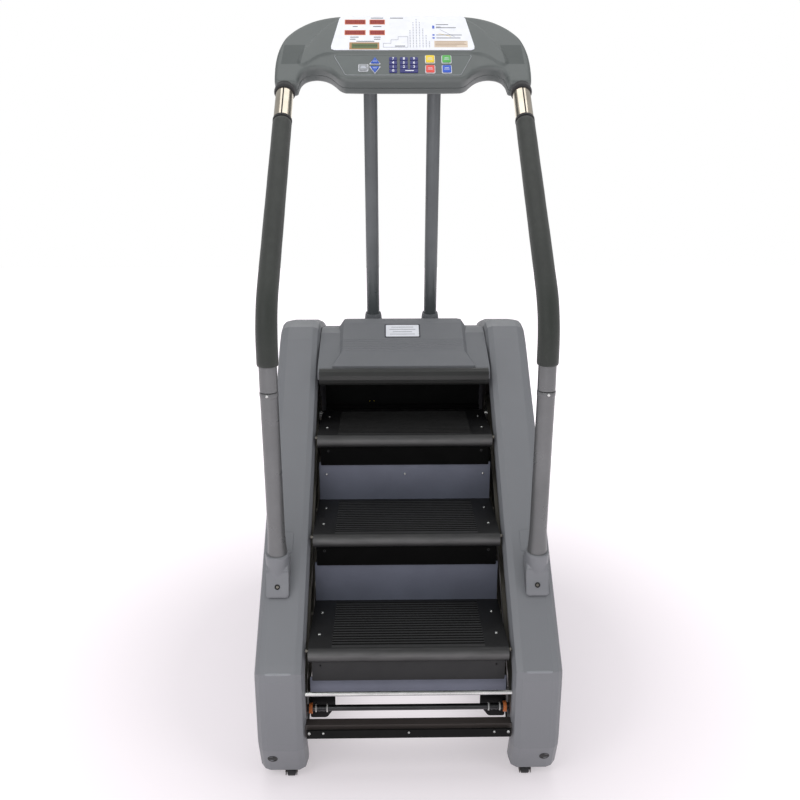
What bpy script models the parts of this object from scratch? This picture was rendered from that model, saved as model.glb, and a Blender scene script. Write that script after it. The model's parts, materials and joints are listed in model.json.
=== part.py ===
"""Revolving-step stair climber, built as separate parts in metres with +Z up.

The user steps on from the -Y end and faces +Y. Side points are written as (y, z) pairs
measured back from the front face of the covers and up from the underside datum of the
frame; `at` turns them into world coordinates.
"""
import math

import bmesh
import bpy
from mathutils import Matrix, Vector

# ---------------------------------------------------------------- driving dimensions
HALF_LENGTH = 0.60
DATUM_LIFT = 0.012
GAP = 0.0003

COVER_INNER = 0.260
COVER_OUTER = 0.385
COVER_WALL = 0.004
COVER_FLANGE = 0.038
OUTER_ROUND = 0.028
INNER_ROUND = 0.022
WELL_HALF = 0.2585
CUT_FLOOR = -0.06
NOTCH_GAP = 0.0015

STEP_RISE = 0.203
STEP_RUN = 0.230
STEP_HALF = 0.252
STEP_DEPTH = 0.250
FIRST_NOSE = (0.040, 0.362)
VISIBLE_STEPS = 3

SPROCKET_RADIUS = 0.055
CHAIN_HALF = 0.005
CHAIN_INNER_X = 0.262
CHAIN_OUTER_X = 0.274
SHAFT_DEPTH = 0.202
LOWER_SHAFT_ALONG = -0.0914
UPPER_SHAFT_ALONG = 0.8103
LOWER_SHAFT_RADIUS = 0.010
UPPER_SHAFT_RADIUS = 0.0127
RETURN_DEPTH = 0.300
RETURN_PHASE = 0.020
SPROCKET_TEETH = 14

PLATE_INNER_X = 0.286
PLATE_OUTER_X = 0.290
RAIL_INNER_X = PLATE_OUTER_X + GAP
RAIL_WIDTH = 0.040
CROSS_LOW = 0.128
CROSS_HIGH = 0.163
CROSS_FRONT = 0.018
CROSS_REAR = 0.0435
PULLEY_INNER_X = 0.338
PULLEY_OUTER_X = 0.350
BIG_PULLEY_RADIUS = 0.085
SMALL_PULLEY_RADIUS = 0.030
BRAKE_CENTRE = (0.970, 0.215)
BRAKE_RADIUS = 0.075

TUBE_RADIUS = 0.022
POST_RADIUS = 0.0215
POST_X = 0.0965
POST_FOOT = (1.0893, 0.840)
POST_LEAN = -0.1778
GRIP_X = 0.335
GRIP_RADIUS = 0.0265
SENSOR_RADIUS = 0.0258
SENSOR_LENGTH = 0.132
RAIL_FOOT = (0.185, 0.503)
RAIL_SEAM = (0.162, 1.000)
RAIL_KINK = (0.1645, 1.185)
RAIL_TOP = (0.7571, 1.7159)

CONSOLE_BASE = (0.7146, 1.708)
CONSOLE_TILT = math.radians(40.0)
FRONT_SHELL_DEPTH = 0.034
BACK_SHELL_DEPTH = 0.062
SHELL_WALL = 0.004

WHEEL_RADIUS = 0.013
WHEEL_CENTRE = (0.050, 0.001)
WHEEL_X = 0.305
FORK_HALF = 0.0085
FOOT_Y = 1.10

MODEL = bpy.data.collections.new("stair_climber")
CUTTERS = bpy.data.collections.new("cutters")

SLOPE = Vector((0.0, STEP_RUN, STEP_RISE)).normalized()
INWARD = Vector((0.0, STEP_RISE, -STEP_RUN)).normalized()


# ---------------------------------------------------------------- placing helpers
def at(x, y, z):
    """World position of a side point at width x."""
    return Vector((x, y - HALF_LENGTH, z + DATUM_LIFT))


def along_stair(along, depth):
    """Side point a distance up the stair line and a depth square below it."""
    y = FIRST_NOSE[0] + SLOPE.y * along + INWARD.y * depth
    z = FIRST_NOSE[1] + SLOPE.z * along + INWARD.z * depth
    return (y, z)


def on_console(u, w, out):
    """World position on the console plane, `out` along the way it faces."""
    s, c = math.sin(CONSOLE_TILT), math.cos(CONSOLE_TILT)
    return at(u, CONSOLE_BASE[0] + w * s - out * c, CONSOLE_BASE[1] + w * c + out * s)


def start_scene():
    for item in list(bpy.data.objects):
        bpy.data.objects.remove(item)
    bpy.context.scene.collection.children.link(MODEL)
    bpy.context.scene.collection.children.link(CUTTERS)
    CUTTERS.hide_render = True


def material(name, colour, roughness, metallic=0.0):
    mat = bpy.data.materials.new(name)
    mat.use_nodes = True
    shader = mat.node_tree.nodes["Principled BSDF"]
    shader.inputs["Base Color"].default_value = (*colour, 1.0)
    shader.inputs["Roughness"].default_value = roughness
    shader.inputs["Metallic"].default_value = metallic
    mat.diffuse_color = (*colour, 1.0)
    return mat


def finish_object(name, bm, mat, origin=None):
    """Turn a bmesh in world coordinates into an object; no material makes it a cutter."""
    bmesh.ops.recalc_face_normals(bm, faces=bm.faces)
    origin = Vector(origin) if origin is not None else Vector((0.0, 0.0, 0.0))
    bmesh.ops.translate(bm, verts=bm.verts, vec=-origin)
    mesh = bpy.data.meshes.new(name)
    bm.to_mesh(mesh)
    bm.free()
    obj = bpy.data.objects.new(name, mesh)
    obj.location = origin
    if mat is None:
        obj.display_type = "WIRE"
        obj.hide_render = True
        CUTTERS.objects.link(obj)
    else:
        mesh.materials.append(mat)
        mesh.shade_smooth()
        mesh.set_sharp_from_angle(angle=math.radians(35.0))
        MODEL.objects.link(obj)
    return obj


def combine(obj, other, operation):
    mod = obj.modifiers.new(operation.lower(), "BOOLEAN")
    mod.operation = operation
    mod.solver = "EXACT"
    mod.object = other


def cut(obj, *others):
    for other in others:
        combine(obj, other, "DIFFERENCE")


def join(obj, *others):
    for other in others:
        combine(obj, other, "UNION")


# ---------------------------------------------------------------- shape helpers
def box_mesh(x0, x1, y0, y1, z0, z1):
    """Box given by its width range and its side-point ranges."""
    bm = bmesh.new()
    bmesh.ops.create_cube(bm, size=1.0)
    size = Vector((x1 - x0, y1 - y0, z1 - z0))
    middle = at((x0 + x1) / 2, (y0 + y1) / 2, (z0 + z1) / 2)
    bmesh.ops.scale(bm, verts=bm.verts, vec=size)
    bmesh.ops.translate(bm, verts=bm.verts, vec=middle)
    return bm


def prism_mesh(side_points, x0, x1):
    """Side outline carried straight across the width."""
    bm = bmesh.new()
    near = [bm.verts.new(at(x0, y, z)) for y, z in side_points]
    face = bm.faces.new(near)
    result = bmesh.ops.extrude_face_region(bm, geom=[face])
    moved = [item for item in result["geom"] if isinstance(item, bmesh.types.BMVert)]
    bmesh.ops.translate(bm, verts=moved, vec=Vector((x1 - x0, 0.0, 0.0)))
    return bm


def round_rim(bm, x, radius, segments):
    """Round the edges that lie in the flat side at width x."""
    rim = [e for e in bm.edges if all(abs(v.co.x - x) < 1e-6 for v in e.verts)]
    bmesh.ops.bevel(bm, geom=rim, offset=radius, segments=segments, profile=0.5,
                    affect="EDGES", clamp_overlap=True)


def inset_outline(points, distance):
    """Move every side of a closed outline inward by the same distance."""
    count = len(points)
    area = sum(points[i][0] * points[(i + 1) % count][1]
               - points[(i + 1) % count][0] * points[i][1] for i in range(count))
    turn = 1.0 if area > 0 else -1.0
    result = []
    for i in range(count):
        before, here, after = points[i - 1], points[i], points[(i + 1) % count]
        d1 = Vector((here[0] - before[0], here[1] - before[1])).normalized()
        d2 = Vector((after[0] - here[0], after[1] - here[1])).normalized()
        n1 = Vector((-d1.y, d1.x)) * turn
        n2 = Vector((-d2.y, d2.x)) * turn
        mitre = (n1 + n2) / (1.0 + n1.dot(n2))
        result.append((here[0] + mitre.x * distance, here[1] + mitre.y * distance))
    return result


def sweep_mesh(path, radii, hole_radius=None, sides=16):
    """Round bar or sleeve along a path of world points; radii is one value per point."""
    bm = bmesh.new()
    across = Vector((1.0, 0.0, 0.0))
    outer, inner = [], []
    for i, point in enumerate(path):
        ahead = path[min(i + 1, len(path) - 1)] - path[max(i - 1, 0)]
        up = across.cross(ahead.normalized())
        before = (point - path[i - 1]).normalized() if i > 0 else ahead.normalized()
        stretch = 1.0 / max(0.5, before.dot(ahead.normalized()))
        for store, radius in ((outer, radii[i]), (inner, hole_radius)):
            if radius is None:
                continue
            ring = []
            for k in range(sides):
                angle = 2.0 * math.pi * (k + 0.5) / sides
                offset = across * math.cos(angle) + up * math.sin(angle) * stretch
                ring.append(bm.verts.new(point + offset * radius))
            store.append(ring)
    skin_rings(bm, outer)
    if hole_radius is None:
        bm.faces.new(outer[0])
        bm.faces.new(outer[-1])
    else:
        skin_rings(bm, inner)
        skin_rings(bm, [outer[0], inner[0]])
        skin_rings(bm, [outer[-1], inner[-1]])
    return bm


def skin_rings(bm, rings):
    for first, second in zip(rings, rings[1:]):
        count = len(first)
        for k in range(count):
            nxt = (k + 1) % count
            bm.faces.new((first[k], first[nxt], second[nxt], second[k]))


def turned_mesh(centre, profile, sides=24):
    """Solid of revolution about a width-wise axis; profile is (x, radius) pairs."""
    path = [at(x, centre[0], centre[1]) for x, _ in profile]
    bm = bmesh.new()
    rings = []
    for point, (_, radius) in zip(path, profile):
        ring = []
        for k in range(sides):
            angle = 2.0 * math.pi * k / sides
            offset = Vector((0.0, math.cos(angle), math.sin(angle))) * radius
            ring.append(bm.verts.new(point + offset))
        rings.append(ring)
    skin_rings(bm, rings)
    bm.faces.new(rings[0])
    bm.faces.new(rings[-1])
    return bm


def ring_mesh(centre, x0, x1, outer_radius, inner_radius, sides=24):
    """Plain ring about a width-wise axis."""
    bm = bmesh.new()
    rings = []
    for x, radius in ((x0, inner_radius), (x0, outer_radius), (x1, outer_radius), (x1, inner_radius)):
        rings.append([bm.verts.new(at(x, centre[0] + radius * math.cos(2 * math.pi * k / sides),
                                      centre[1] + radius * math.sin(2 * math.pi * k / sides)))
                      for k in range(sides)])
    skin_rings(bm, rings + [rings[0]])
    return bm


def loop_outline(first, first_radius, second, second_radius, arc_points):
    """Outline of a belt pulled tight round two wheels."""
    gap = Vector((second[0] - first[0], second[1] - first[1]))
    base = math.atan2(gap.y, gap.x)
    spread = math.acos((first_radius - second_radius) / gap.length)
    outline = []
    for centre, radius, start, stop in (
            (first, first_radius, base + spread, base + 2 * math.pi - spread),
            (second, second_radius, base - spread, base + spread)):
        for k in range(arc_points):
            angle = start + (stop - start) * k / (arc_points - 1)
            outline.append((centre[0] + radius * math.cos(angle),
                            centre[1] + radius * math.sin(angle)))
    return outline


def belt_mesh(first, r1, second, r2, thickness, x0, x1, arc_points):
    bm = bmesh.new()
    inner = loop_outline(first, r1, second, r2, arc_points)
    outer = loop_outline(first, r1 + thickness, second, r2 + thickness, arc_points)
    rings = []
    for x, outline in ((x0, inner), (x0, outer), (x1, outer), (x1, inner)):
        rings.append([bm.verts.new(at(x, y, z)) for y, z in outline])
    skin_rings(bm, rings + [rings[0]])
    return bm


def toothed_mesh(centre, x0, x1, tip_radius, root_radius, teeth):
    """Flat sprocket with plain tapered teeth."""
    outline = []
    for k in range(teeth):
        for part, radius in ((0.0, root_radius), (0.3, tip_radius), (0.5, tip_radius), (0.8, root_radius)):
            angle = 2.0 * math.pi * (k + part) / teeth
            outline.append((centre[0] + radius * math.cos(angle), centre[1] + radius * math.sin(angle)))
    return prism_mesh(outline, x0, x1)


def plate_on_console(outline, out0, out1):
    """Flat outline on the console plane, made solid between two heights off it."""
    bm = bmesh.new()
    low = [bm.verts.new(on_console(u, w, out0)) for u, w in outline]
    high = [bm.verts.new(on_console(u, w, out1)) for u, w in outline]
    bm.faces.new(low)
    bm.faces.new(high)
    skin_rings(bm, [low, high])
    return bm


def soften_top(bm, out, radius, segments):
    """Round the console-side edges that lie at one height off the console plane."""
    base = on_console(0.0, 0.0, out)
    facing = (on_console(0.0, 0.0, 1.0) - on_console(0.0, 0.0, 0.0)).normalized()
    rim = [e for e in bm.edges if all(abs((v.co - base).dot(facing)) < 1e-6 for v in e.verts)]
    bmesh.ops.bevel(bm, geom=rim, offset=radius, segments=segments, profile=0.5,
                    affect="EDGES", clamp_overlap=True)


def mirrored(points):
    """Full left-right outline from its right half, written bottom to top."""
    return points + [(-u, w) for u, w in reversed(points)]


# ---------------------------------------------------------------- housings
COVER_OUTLINE = [(0.035, 0.015), (0.003, 0.098), (0.0, 0.120), (0.0, 0.298), (0.004, 0.321),
                 (0.020, 0.3363), (0.775, 0.992), (0.820, 1.021), (0.880, 1.030),
                 (1.030, 1.003), (1.130, 0.975), (1.176, 0.940), (1.200, 0.880),
                 (1.200, 0.120), (1.176, 0.045), (1.140, 0.015)]


def open_below(outline):
    """Same outline with its two lowest ends run on in a straight line through the part's floor."""
    ends = []
    for (y, z), (next_y, next_z) in ((outline[0], outline[1]), (outline[-1], outline[-2])):
        run = (z - CUT_FLOOR) / (next_z - z)
        ends.append((y - (next_y - y) * run, CUT_FLOOR))
    return [ends[0]] + outline[1:-1] + [ends[1]]


def side_cover(side, mat):
    name = "left_side_cover" if side < 0 else "right_side_cover"
    bm = prism_mesh(COVER_OUTLINE, side * COVER_INNER, side * COVER_OUTER)
    round_rim(bm, side * COVER_OUTER, OUTER_ROUND, 3)
    round_rim(bm, side * COVER_INNER, INNER_ROUND, 2)
    cover = finish_object(name, bm, mat)
    hollow = open_below(inset_outline(COVER_OUTLINE, COVER_WALL))
    bm = prism_mesh(hollow, side * (COVER_INNER + COVER_WALL), side * (COVER_OUTER - COVER_WALL))
    round_rim(bm, side * (COVER_OUTER - COVER_WALL), OUTER_ROUND, 1)
    round_rim(bm, side * (COVER_INNER + COVER_WALL), INNER_ROUND, 1)
    inside = finish_object(name + "_hollow", bm, None)
    window = open_below(inset_outline(COVER_OUTLINE, COVER_FLANGE))
    bm = prism_mesh(window, side * (COVER_INNER - 0.02), side * (COVER_INNER + 0.02))
    opening = finish_object(name + "_window", bm, None)
    bm = box_mesh(side * 0.250, side * 0.300, CROSS_FRONT - NOTCH_GAP, CROSS_REAR + NOTCH_GAP,
                  CROSS_LOW - NOTCH_GAP, CROSS_HIGH + NOTCH_GAP)
    notch = finish_object(name + "_notch", bm, None)
    bm = turned_mesh((0.0, 0.0), [(-0.02, 0.0065), (0.02, 0.0065)], sides=12)
    bmesh.ops.rotate(bm, verts=bm.verts, cent=at(0.0, 0.0, 0.0),
                     matrix=Matrix.Rotation(math.radians(90.0), 3, "Z"))
    bmesh.ops.scale(bm, verts=bm.verts, vec=Vector((1.8, 1.0, 1.0)),
                    space=Matrix.Translation(-at(0.0, 0.0, 0.0)))
    bmesh.ops.translate(bm, verts=bm.verts, vec=Vector((side * 0.348, 0.018, 0.066)))
    hole = finish_object(name + "_bolt_hole", bm, None)
    cut(cover, inside, opening, notch, hole)


def hood_sections(shrink, with_ribs):
    """Raised middle of the hood: (y, top height, top half width, foot half width)."""
    rows = [(0.664, 0.934, 0.214, 0.219), (0.732, 0.9635, 0.187, 0.218)]
    if with_ribs:
        ribs = 7
        for k in range(ribs):
            for part, lift in ((0.15, 0.0), (0.3, 0.0016), (0.7, 0.0016), (0.85, 0.0)):
                y = 0.733 + 0.059 * (k + part) / ribs
                rows.append((y, 0.9635 + (y - 0.732) * 0.4338 + lift, 0.187, 0.2175))
    rows += [(0.868, 1.0225, 0.187, 0.214), (0.895, 1.030, 0.187, 0.213),
             (1.055, 1.0005, 0.186, 0.210), (1.120, 0.980, 0.180, 0.205),
             (1.160, 0.952, 0.168, 0.195)]
    return [(y, z - shrink, top - shrink, foot - shrink) for y, z, top, foot in rows]


def hood_raise_mesh(rows, foot_drop):
    bm = bmesh.new()
    rings = []
    for y, z, top, foot in rows:
        rings.append([bm.verts.new(at(x, y, height)) for x, height in
                      ((-foot, z - foot_drop), (-top, z), (top, z), (foot, z - foot_drop))])
    skin_rings(bm, rings)
    bm.faces.new(rings[0])
    bm.faces.new(rings[-1])
    return bm


def post_point(x, z):
    return at(x, POST_FOOT[0] + POST_LEAN * (z - POST_FOOT[1]), z)


def top_hood(mat):
    shoulder = [(0.655, 0.894), (0.655, 0.916), (0.668, 0.928), (0.840, 0.997), (0.890, 1.004),
                (1.040, 0.979), (1.140, 0.948), (1.192, 0.915), (1.197, 0.900), (1.197, 0.862)]
    hood = finish_object("top_hood", prism_mesh(shoulder, -WELL_HALF, WELL_HALF), mat)
    raised = finish_object("top_hood_raise", hood_raise_mesh(hood_sections(0.0, True), 0.038), None)
    inside = inset_outline(shoulder, COVER_WALL)
    inside[0] = (inside[0][0], 0.80)
    inside[-1] = (inside[-1][0], 0.80)
    bm = prism_mesh(inside, -WELL_HALF + COVER_WALL, WELL_HALF - COVER_WALL)
    hollow = finish_object("top_hood_hollow", bm, None)
    rows = [row for row in hood_sections(0.005, False) if 0.70 < row[0] < 1.13]
    deep = finish_object("top_hood_deep", hood_raise_mesh(rows, 0.050), None)
    join(hood, raised)
    for side in (-1, 1):
        path = [post_point(side * POST_X, z) for z in (0.980, 1.010, 1.021)]
        bm = sweep_mesh(path, [0.031, 0.0285, 0.0262], sides=20)
        join(hood, finish_object("post_collar", bm, None))
    cut(hood, hollow, deep)
    for side in (-1, 1):
        path = [post_point(side * POST_X, z) for z in (0.90, 1.10)]
        bm = sweep_mesh(path, [POST_RADIUS + 0.0006] * 2, sides=20)
        cut(hood, finish_object("post_bore", bm, None))


def hood_nose_bar(mat):
    outline = [(0.6545, 0.882), (0.6545, 0.929), (0.645, 0.929), (0.635, 0.923), (0.629, 0.912),
               (0.628, 0.900), (0.632, 0.889), (0.640, 0.882)]
    finish_object("hood_nose_bar", prism_mesh(outline, -STEP_HALF, STEP_HALF), mat)


def inner_shield(mat):
    """Sheet that closes the drive space off behind the top step."""
    half = WELL_HALF - COVER_WALL - 0.001
    finish_object("inner_shield", box_mesh(-half, half, 0.905, 0.907, 0.470, 0.985), mat)


def rear_cover(mat, inlet_mat):
    cover = finish_object("rear_cover", box_mesh(-WELL_HALF, WELL_HALF, 1.190, 1.194, 0.10, 0.861), mat)
    hole = finish_object("inlet_hole", box_mesh(0.1097, 0.1603, 1.18, 1.20, 0.1497, 0.1803), None)
    cut(cover, hole)
    inlet = finish_object("power_inlet", box_mesh(0.110, 0.160, 1.160, 1.196, 0.150, 0.180), inlet_mat)
    socket = finish_object("inlet_socket", box_mesh(0.120, 0.150, 1.180, 1.200, 0.157, 0.173), None)
    cut(inlet, socket)


# ---------------------------------------------------------------- frame and drive
def base_frame(mat):
    low, high = RAIL_INNER_X, RAIL_INNER_X + RAIL_WIDTH
    frame = finish_object("base_frame", box_mesh(-high, high, CROSS_FRONT, CROSS_REAR, CROSS_LOW, CROSS_HIGH), mat)
    pieces = [("mid_cross", box_mesh(-high, high, 0.950, 0.990, 0.085, 0.125)),
              ("rear_cross", box_mesh(-high, high, 1.080, 1.120, 0.085, 0.125)),
              ("upper_cross", box_mesh(-high, high, 1.055, 1.115, 0.800, 0.840))]
    for side in (-1, 1):
        pieces.append(("floor_rail", box_mesh(side * low, side * high, 0.014, 1.130, 0.085, 0.125)))
        pieces.append(("front_upright", box_mesh(side * low, side * high, 0.014, 0.050, 0.085, 0.215)))
        pieces.append(("rear_upright", box_mesh(side * low, side * high, 1.075, 1.115, 0.085, 0.840)))
        incline = [(0.200, 0.087), (0.255, 0.087), (1.110, 0.775), (1.110, 0.825)]
        pieces.append(("incline", prism_mesh(incline, side * low, side * high)))
        wheel_y, wheel_z = WHEEL_CENTRE
        for x in (0.2905, 0.3185):
            pieces.append(("fork", box_mesh(side * x, side * (x + 0.002), wheel_y - FORK_HALF,
                                            wheel_y + FORK_HALF, wheel_z - FORK_HALF, 0.100)))
        axle = turned_mesh(WHEEL_CENTRE, [(side * 0.2895, 0.0045), (side * 0.3215, 0.0045)], sides=12)
        pieces.append(("axle", axle))
    for label, bm in pieces:
        join(frame, finish_object("frame_" + label, bm, None))


def side_plate(side, mat, lower, upper):
    name = "left_side_plate" if side < 0 else "right_side_plate"
    outline = [(0.052, 0.128), (0.052, 0.300), (0.700, 0.870), (0.900, 0.870), (0.900, 0.620),
               (0.300, 0.135)]
    bm = prism_mesh(outline, side * PLATE_INNER_X, side * PLATE_OUTER_X)
    plate = finish_object(name, bm, mat)
    for centre, radius in ((lower, LOWER_SHAFT_RADIUS), (upper, UPPER_SHAFT_RADIUS)):
        bm = turned_mesh(centre, [(side * 0.27, radius + 0.0008), (side * 0.30, radius + 0.0008)])
        cut(plate, finish_object(name + "_bore", bm, None))


def chain(side, mat, lower, upper):
    name = "left_chain" if side < 0 else "right_chain"
    inner = SPROCKET_RADIUS - CHAIN_HALF
    bm = belt_mesh(lower, inner, upper, inner, 2 * CHAIN_HALF, side * CHAIN_INNER_X,
                   side * CHAIN_OUTER_X, 12)
    finish_object(name, bm, mat)


def shaft(name, mat, centre, profile, extra=()):
    obj = finish_object(name, turned_mesh(centre, profile, sides=20), mat, at(0.0, *centre))
    tip = SPROCKET_RADIUS - CHAIN_HALF - 0.001
    for side in (-1, 1):
        bm = toothed_mesh(centre, side * 0.265, side * 0.271, tip, tip - 0.006, SPROCKET_TEETH)
        join(obj, finish_object(name + "_sprocket", bm, None))
    for bm in extra:
        join(obj, finish_object(name + "_wheel", bm, None))


def stepped(half, radius, collars, collar_radius, width, far=None):
    """Shaft profile with plain collars; `far` sets a longer right-hand end."""
    profile = [(-half, radius)]
    for x in collars:
        profile += [(x - width / 2, radius), (x - width / 2 + 0.0002, collar_radius),
                    (x + width / 2 - 0.0002, collar_radius), (x + width / 2, radius)]
    profile.append((far if far else half, radius))
    return profile


def bearing(side, mat, centre):
    name = "left_bearing" if side < 0 else "right_bearing"
    bm = ring_mesh(centre, side * 0.2746, side * 0.2856, 0.020, LOWER_SHAFT_RADIUS + 0.0006, sides=20)
    finish_object(name, bm, mat)


def brake(housing_mat, rotor_mat, belt_mat, upper):
    y, z = BRAKE_CENTRE
    profile = [(0.120, 0.060), (0.130, BRAKE_RADIUS), (0.235, BRAKE_RADIUS), (0.245, 0.060)]
    housing = finish_object("brake_unit", turned_mesh(BRAKE_CENTRE, profile, sides=28), housing_mat)
    foot = finish_object("brake_foot", box_mesh(0.140, 0.225, y - 0.020, y + 0.020, 0.1256, 0.170), None)
    join(housing, foot)
    profile = [(0.2456, 0.009), (PULLEY_INNER_X, 0.009), (PULLEY_INNER_X + 0.0002, SMALL_PULLEY_RADIUS),
               (PULLEY_OUTER_X, SMALL_PULLEY_RADIUS)]
    finish_object("brake_rotor", turned_mesh(BRAKE_CENTRE, profile, sides=20), rotor_mat,
                  at(PULLEY_INNER_X, y, z))
    bm = belt_mesh(upper, BIG_PULLEY_RADIUS + 0.0008, BRAKE_CENTRE, SMALL_PULLEY_RADIUS + 0.0008,
                   0.003, PULLEY_INNER_X + 0.001, PULLEY_OUTER_X - 0.001, 14)
    finish_object("drive_belt", bm, belt_mat)


def front_trim(strip_mat, rod_mat):
    strip = box_mesh(-WELL_HALF, WELL_HALF, 0.006, 0.010, 0.132, 0.1557)
    finish_object("lower_strip", strip, strip_mat)
    bm = turned_mesh((0.025, 0.250), [(-0.2595, 0.0055), (0.2595, 0.0055)], sides=12)
    finish_object("guard_rod", bm, rod_mat)


# ---------------------------------------------------------------- steps
TREAD_OUTLINE = [(0.013, 0.0), (0.005, -0.004), (0.0, -0.013), (0.003, -0.024), (0.012, -0.031),
                 (0.0145, -0.034), (0.0145, -0.086), (0.0185, -0.086), (0.0185, -0.024),
                 (0.2385, -0.024), (0.2385, -0.031), (STEP_DEPTH, -0.031), (STEP_DEPTH, -0.002),
                 (0.248, 0.0)]


def nose_of(step):
    return (FIRST_NOSE[0] + STEP_RUN * (step - 1), FIRST_NOSE[1] + STEP_RISE * (step - 1))


def visible_step(step, tread_mat, riser_mat):
    y, z = nose_of(step)
    outline = [(y + dy, z + dz) for dy, dz in TREAD_OUTLINE]
    bm = prism_mesh(outline, -STEP_HALF, STEP_HALF)
    tread = finish_object("step_tread_%d" % step, bm, tread_mat)
    pin = turned_mesh((y + 0.205, z - 0.014), [(-0.2614, 0.006), (0.2614, 0.006)], sides=10)
    join(tread, finish_object("tread_pin", pin, None))
    bottom = -0.118 if step == 1 else -0.228
    bm = prism_mesh([(y + 0.0508, z - 0.0245), (y + 0.0205, z - 0.0245), (y + 0.0205, z + bottom),
                     (y + 0.0225, z + bottom), (y + 0.0225, z - 0.0265), (y + 0.0508, z - 0.0265)],
                    -STEP_HALF + 0.002, STEP_HALF - 0.002)
    finish_object("step_riser_%d" % step, bm, riser_mat)


def return_step(step, mat):
    """Step on its way back under the stair, upside down and flat to the chain."""
    start = RETURN_PHASE + STEP_RUN / SLOPE.y * (step - 1)
    outline = [along_stair(start + dy, RETURN_DEPTH + dz) for dy, dz in TREAD_OUTLINE]
    finish_object("return_step_%d" % step, prism_mesh(outline, -STEP_HALF, STEP_HALF), mat)


# ---------------------------------------------------------------- posts and handrails
def post(side, mat):
    name = "left_post" if side < 0 else "right_post"
    x = side * POST_X
    path = [post_point(x, z) for z in (0.8448, 1.060, 1.0605, 1.90)]
    bm = sweep_mesh(path, [POST_RADIUS] * 2 + [POST_RADIUS - 0.0006] * 2, sides=20)
    plane = on_console(x, 0.0, -BACK_SHELL_DEPTH - 0.0004)
    facing = (on_console(x, 0.0, 1.0) - on_console(x, 0.0, 0.0)).normalized()
    result = bmesh.ops.bisect_plane(bm, geom=bm.verts[:] + bm.edges[:] + bm.faces[:], dist=1e-7,
                                    plane_co=plane, plane_no=facing, clear_outer=True)
    rim = [item for item in result["geom_cut"] if isinstance(item, bmesh.types.BMEdge)]
    bmesh.ops.contextual_create(bm, geom=rim)
    finish_object(name, bm, mat)


def bend_path(x):
    """Centre line of the upper handrail, with the bend spread over short straights."""
    kink = Vector(RAIL_KINK)
    before = (kink - Vector(RAIL_SEAM)).normalized()
    after = (Vector(RAIL_TOP) - kink).normalized()
    reach = 0.085
    points = [Vector(RAIL_SEAM) + before * 0.0018]
    first, last = kink - before * reach, kink + after * reach
    count = 7
    for k in range(count):
        t = k / (count - 1)
        points.append(first * (1 - t) ** 2 + kink * 2 * t * (1 - t) + last * t ** 2)
    points.append(Vector(RAIL_TOP))
    return points


def rail_set(side, tube_mat, foam_mat, chrome_mat):
    word = "left" if side < 0 else "right"
    x = side * GRIP_X
    points = bend_path(x)
    world = [at(x, p.x, p.y) for p in points]
    bm = sweep_mesh(world, [TUBE_RADIUS] * len(world), sides=20)
    finish_object(word + "_upper_rail", bm, tube_mat)
    low = points[0] + (points[1] - points[0]).normalized() * 0.0605
    end_dir = (points[-1] - points[-2]).normalized()
    foam_end = points[-1] - end_dir * SENSOR_LENGTH
    foam = [low] + points[1:-1] + [foam_end]
    world = [at(x, p.x, p.y) for p in foam]
    bm = sweep_mesh(world, [GRIP_RADIUS] * len(world), TUBE_RADIUS + GAP, sides=20)
    finish_object(word + "_foam_grip", bm, foam_mat)
    ends = [foam_end + end_dir * 0.001, points[-1] - end_dir * 0.002]
    world = [at(x, p.x, p.y) for p in ends]
    bm = sweep_mesh(world, [SENSOR_RADIUS] * 2, TUBE_RADIUS + GAP, sides=20)
    finish_object(word + "_pulse_sensor", bm, chrome_mat)
    foot, seam = Vector(RAIL_FOOT), Vector(RAIL_SEAM)
    lean = (seam - foot).normalized()
    stops = [foot, seam - lean * 0.0125, seam - lean * 0.012, seam]
    world = [at(x, p.x, p.y) for p in stops]
    bm = sweep_mesh(world, [TUBE_RADIUS, TUBE_RADIUS, 0.0229, 0.0229], sides=20)
    finish_object(word + "_lower_rail", bm, tube_mat)


def rail_bracket(side, mat):
    word = "left" if side < 0 else "right"
    outline = [(0.145, 0.4462), (0.145, 0.466), (0.156, 0.492), (0.162, 0.533), (0.208, 0.547),
               (0.236, 0.5252)]
    bm = prism_mesh(outline, side * (GRIP_X - 0.029), side * (GRIP_X + 0.029))
    for x in (GRIP_X - 0.029, GRIP_X + 0.029):
        round_rim(bm, side * x, 0.006, 2)
    bracket = finish_object(word + "_rail_bracket", bm, mat)
    foot, seam = Vector(RAIL_FOOT), Vector(RAIL_SEAM)
    lean = (seam - foot).normalized()
    stops = [foot + lean * 0.018, foot + lean * 0.056, foot + lean * 0.060]
    world = [at(side * GRIP_X, p.x, p.y) for p in stops]
    collar = finish_object(word + "_collar", sweep_mesh(world, [0.0275, 0.0275, 0.0255], sides=20), None)
    join(bracket, collar)
    stops = [foot - lean * 0.0005, foot + lean * 0.09]
    world = [at(side * GRIP_X, p.x, p.y) for p in stops]
    bm = sweep_mesh(world, [TUBE_RADIUS + 0.0004] * 2, sides=20)
    cut(bracket, finish_object(word + "_rail_bore", bm, None))


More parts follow.
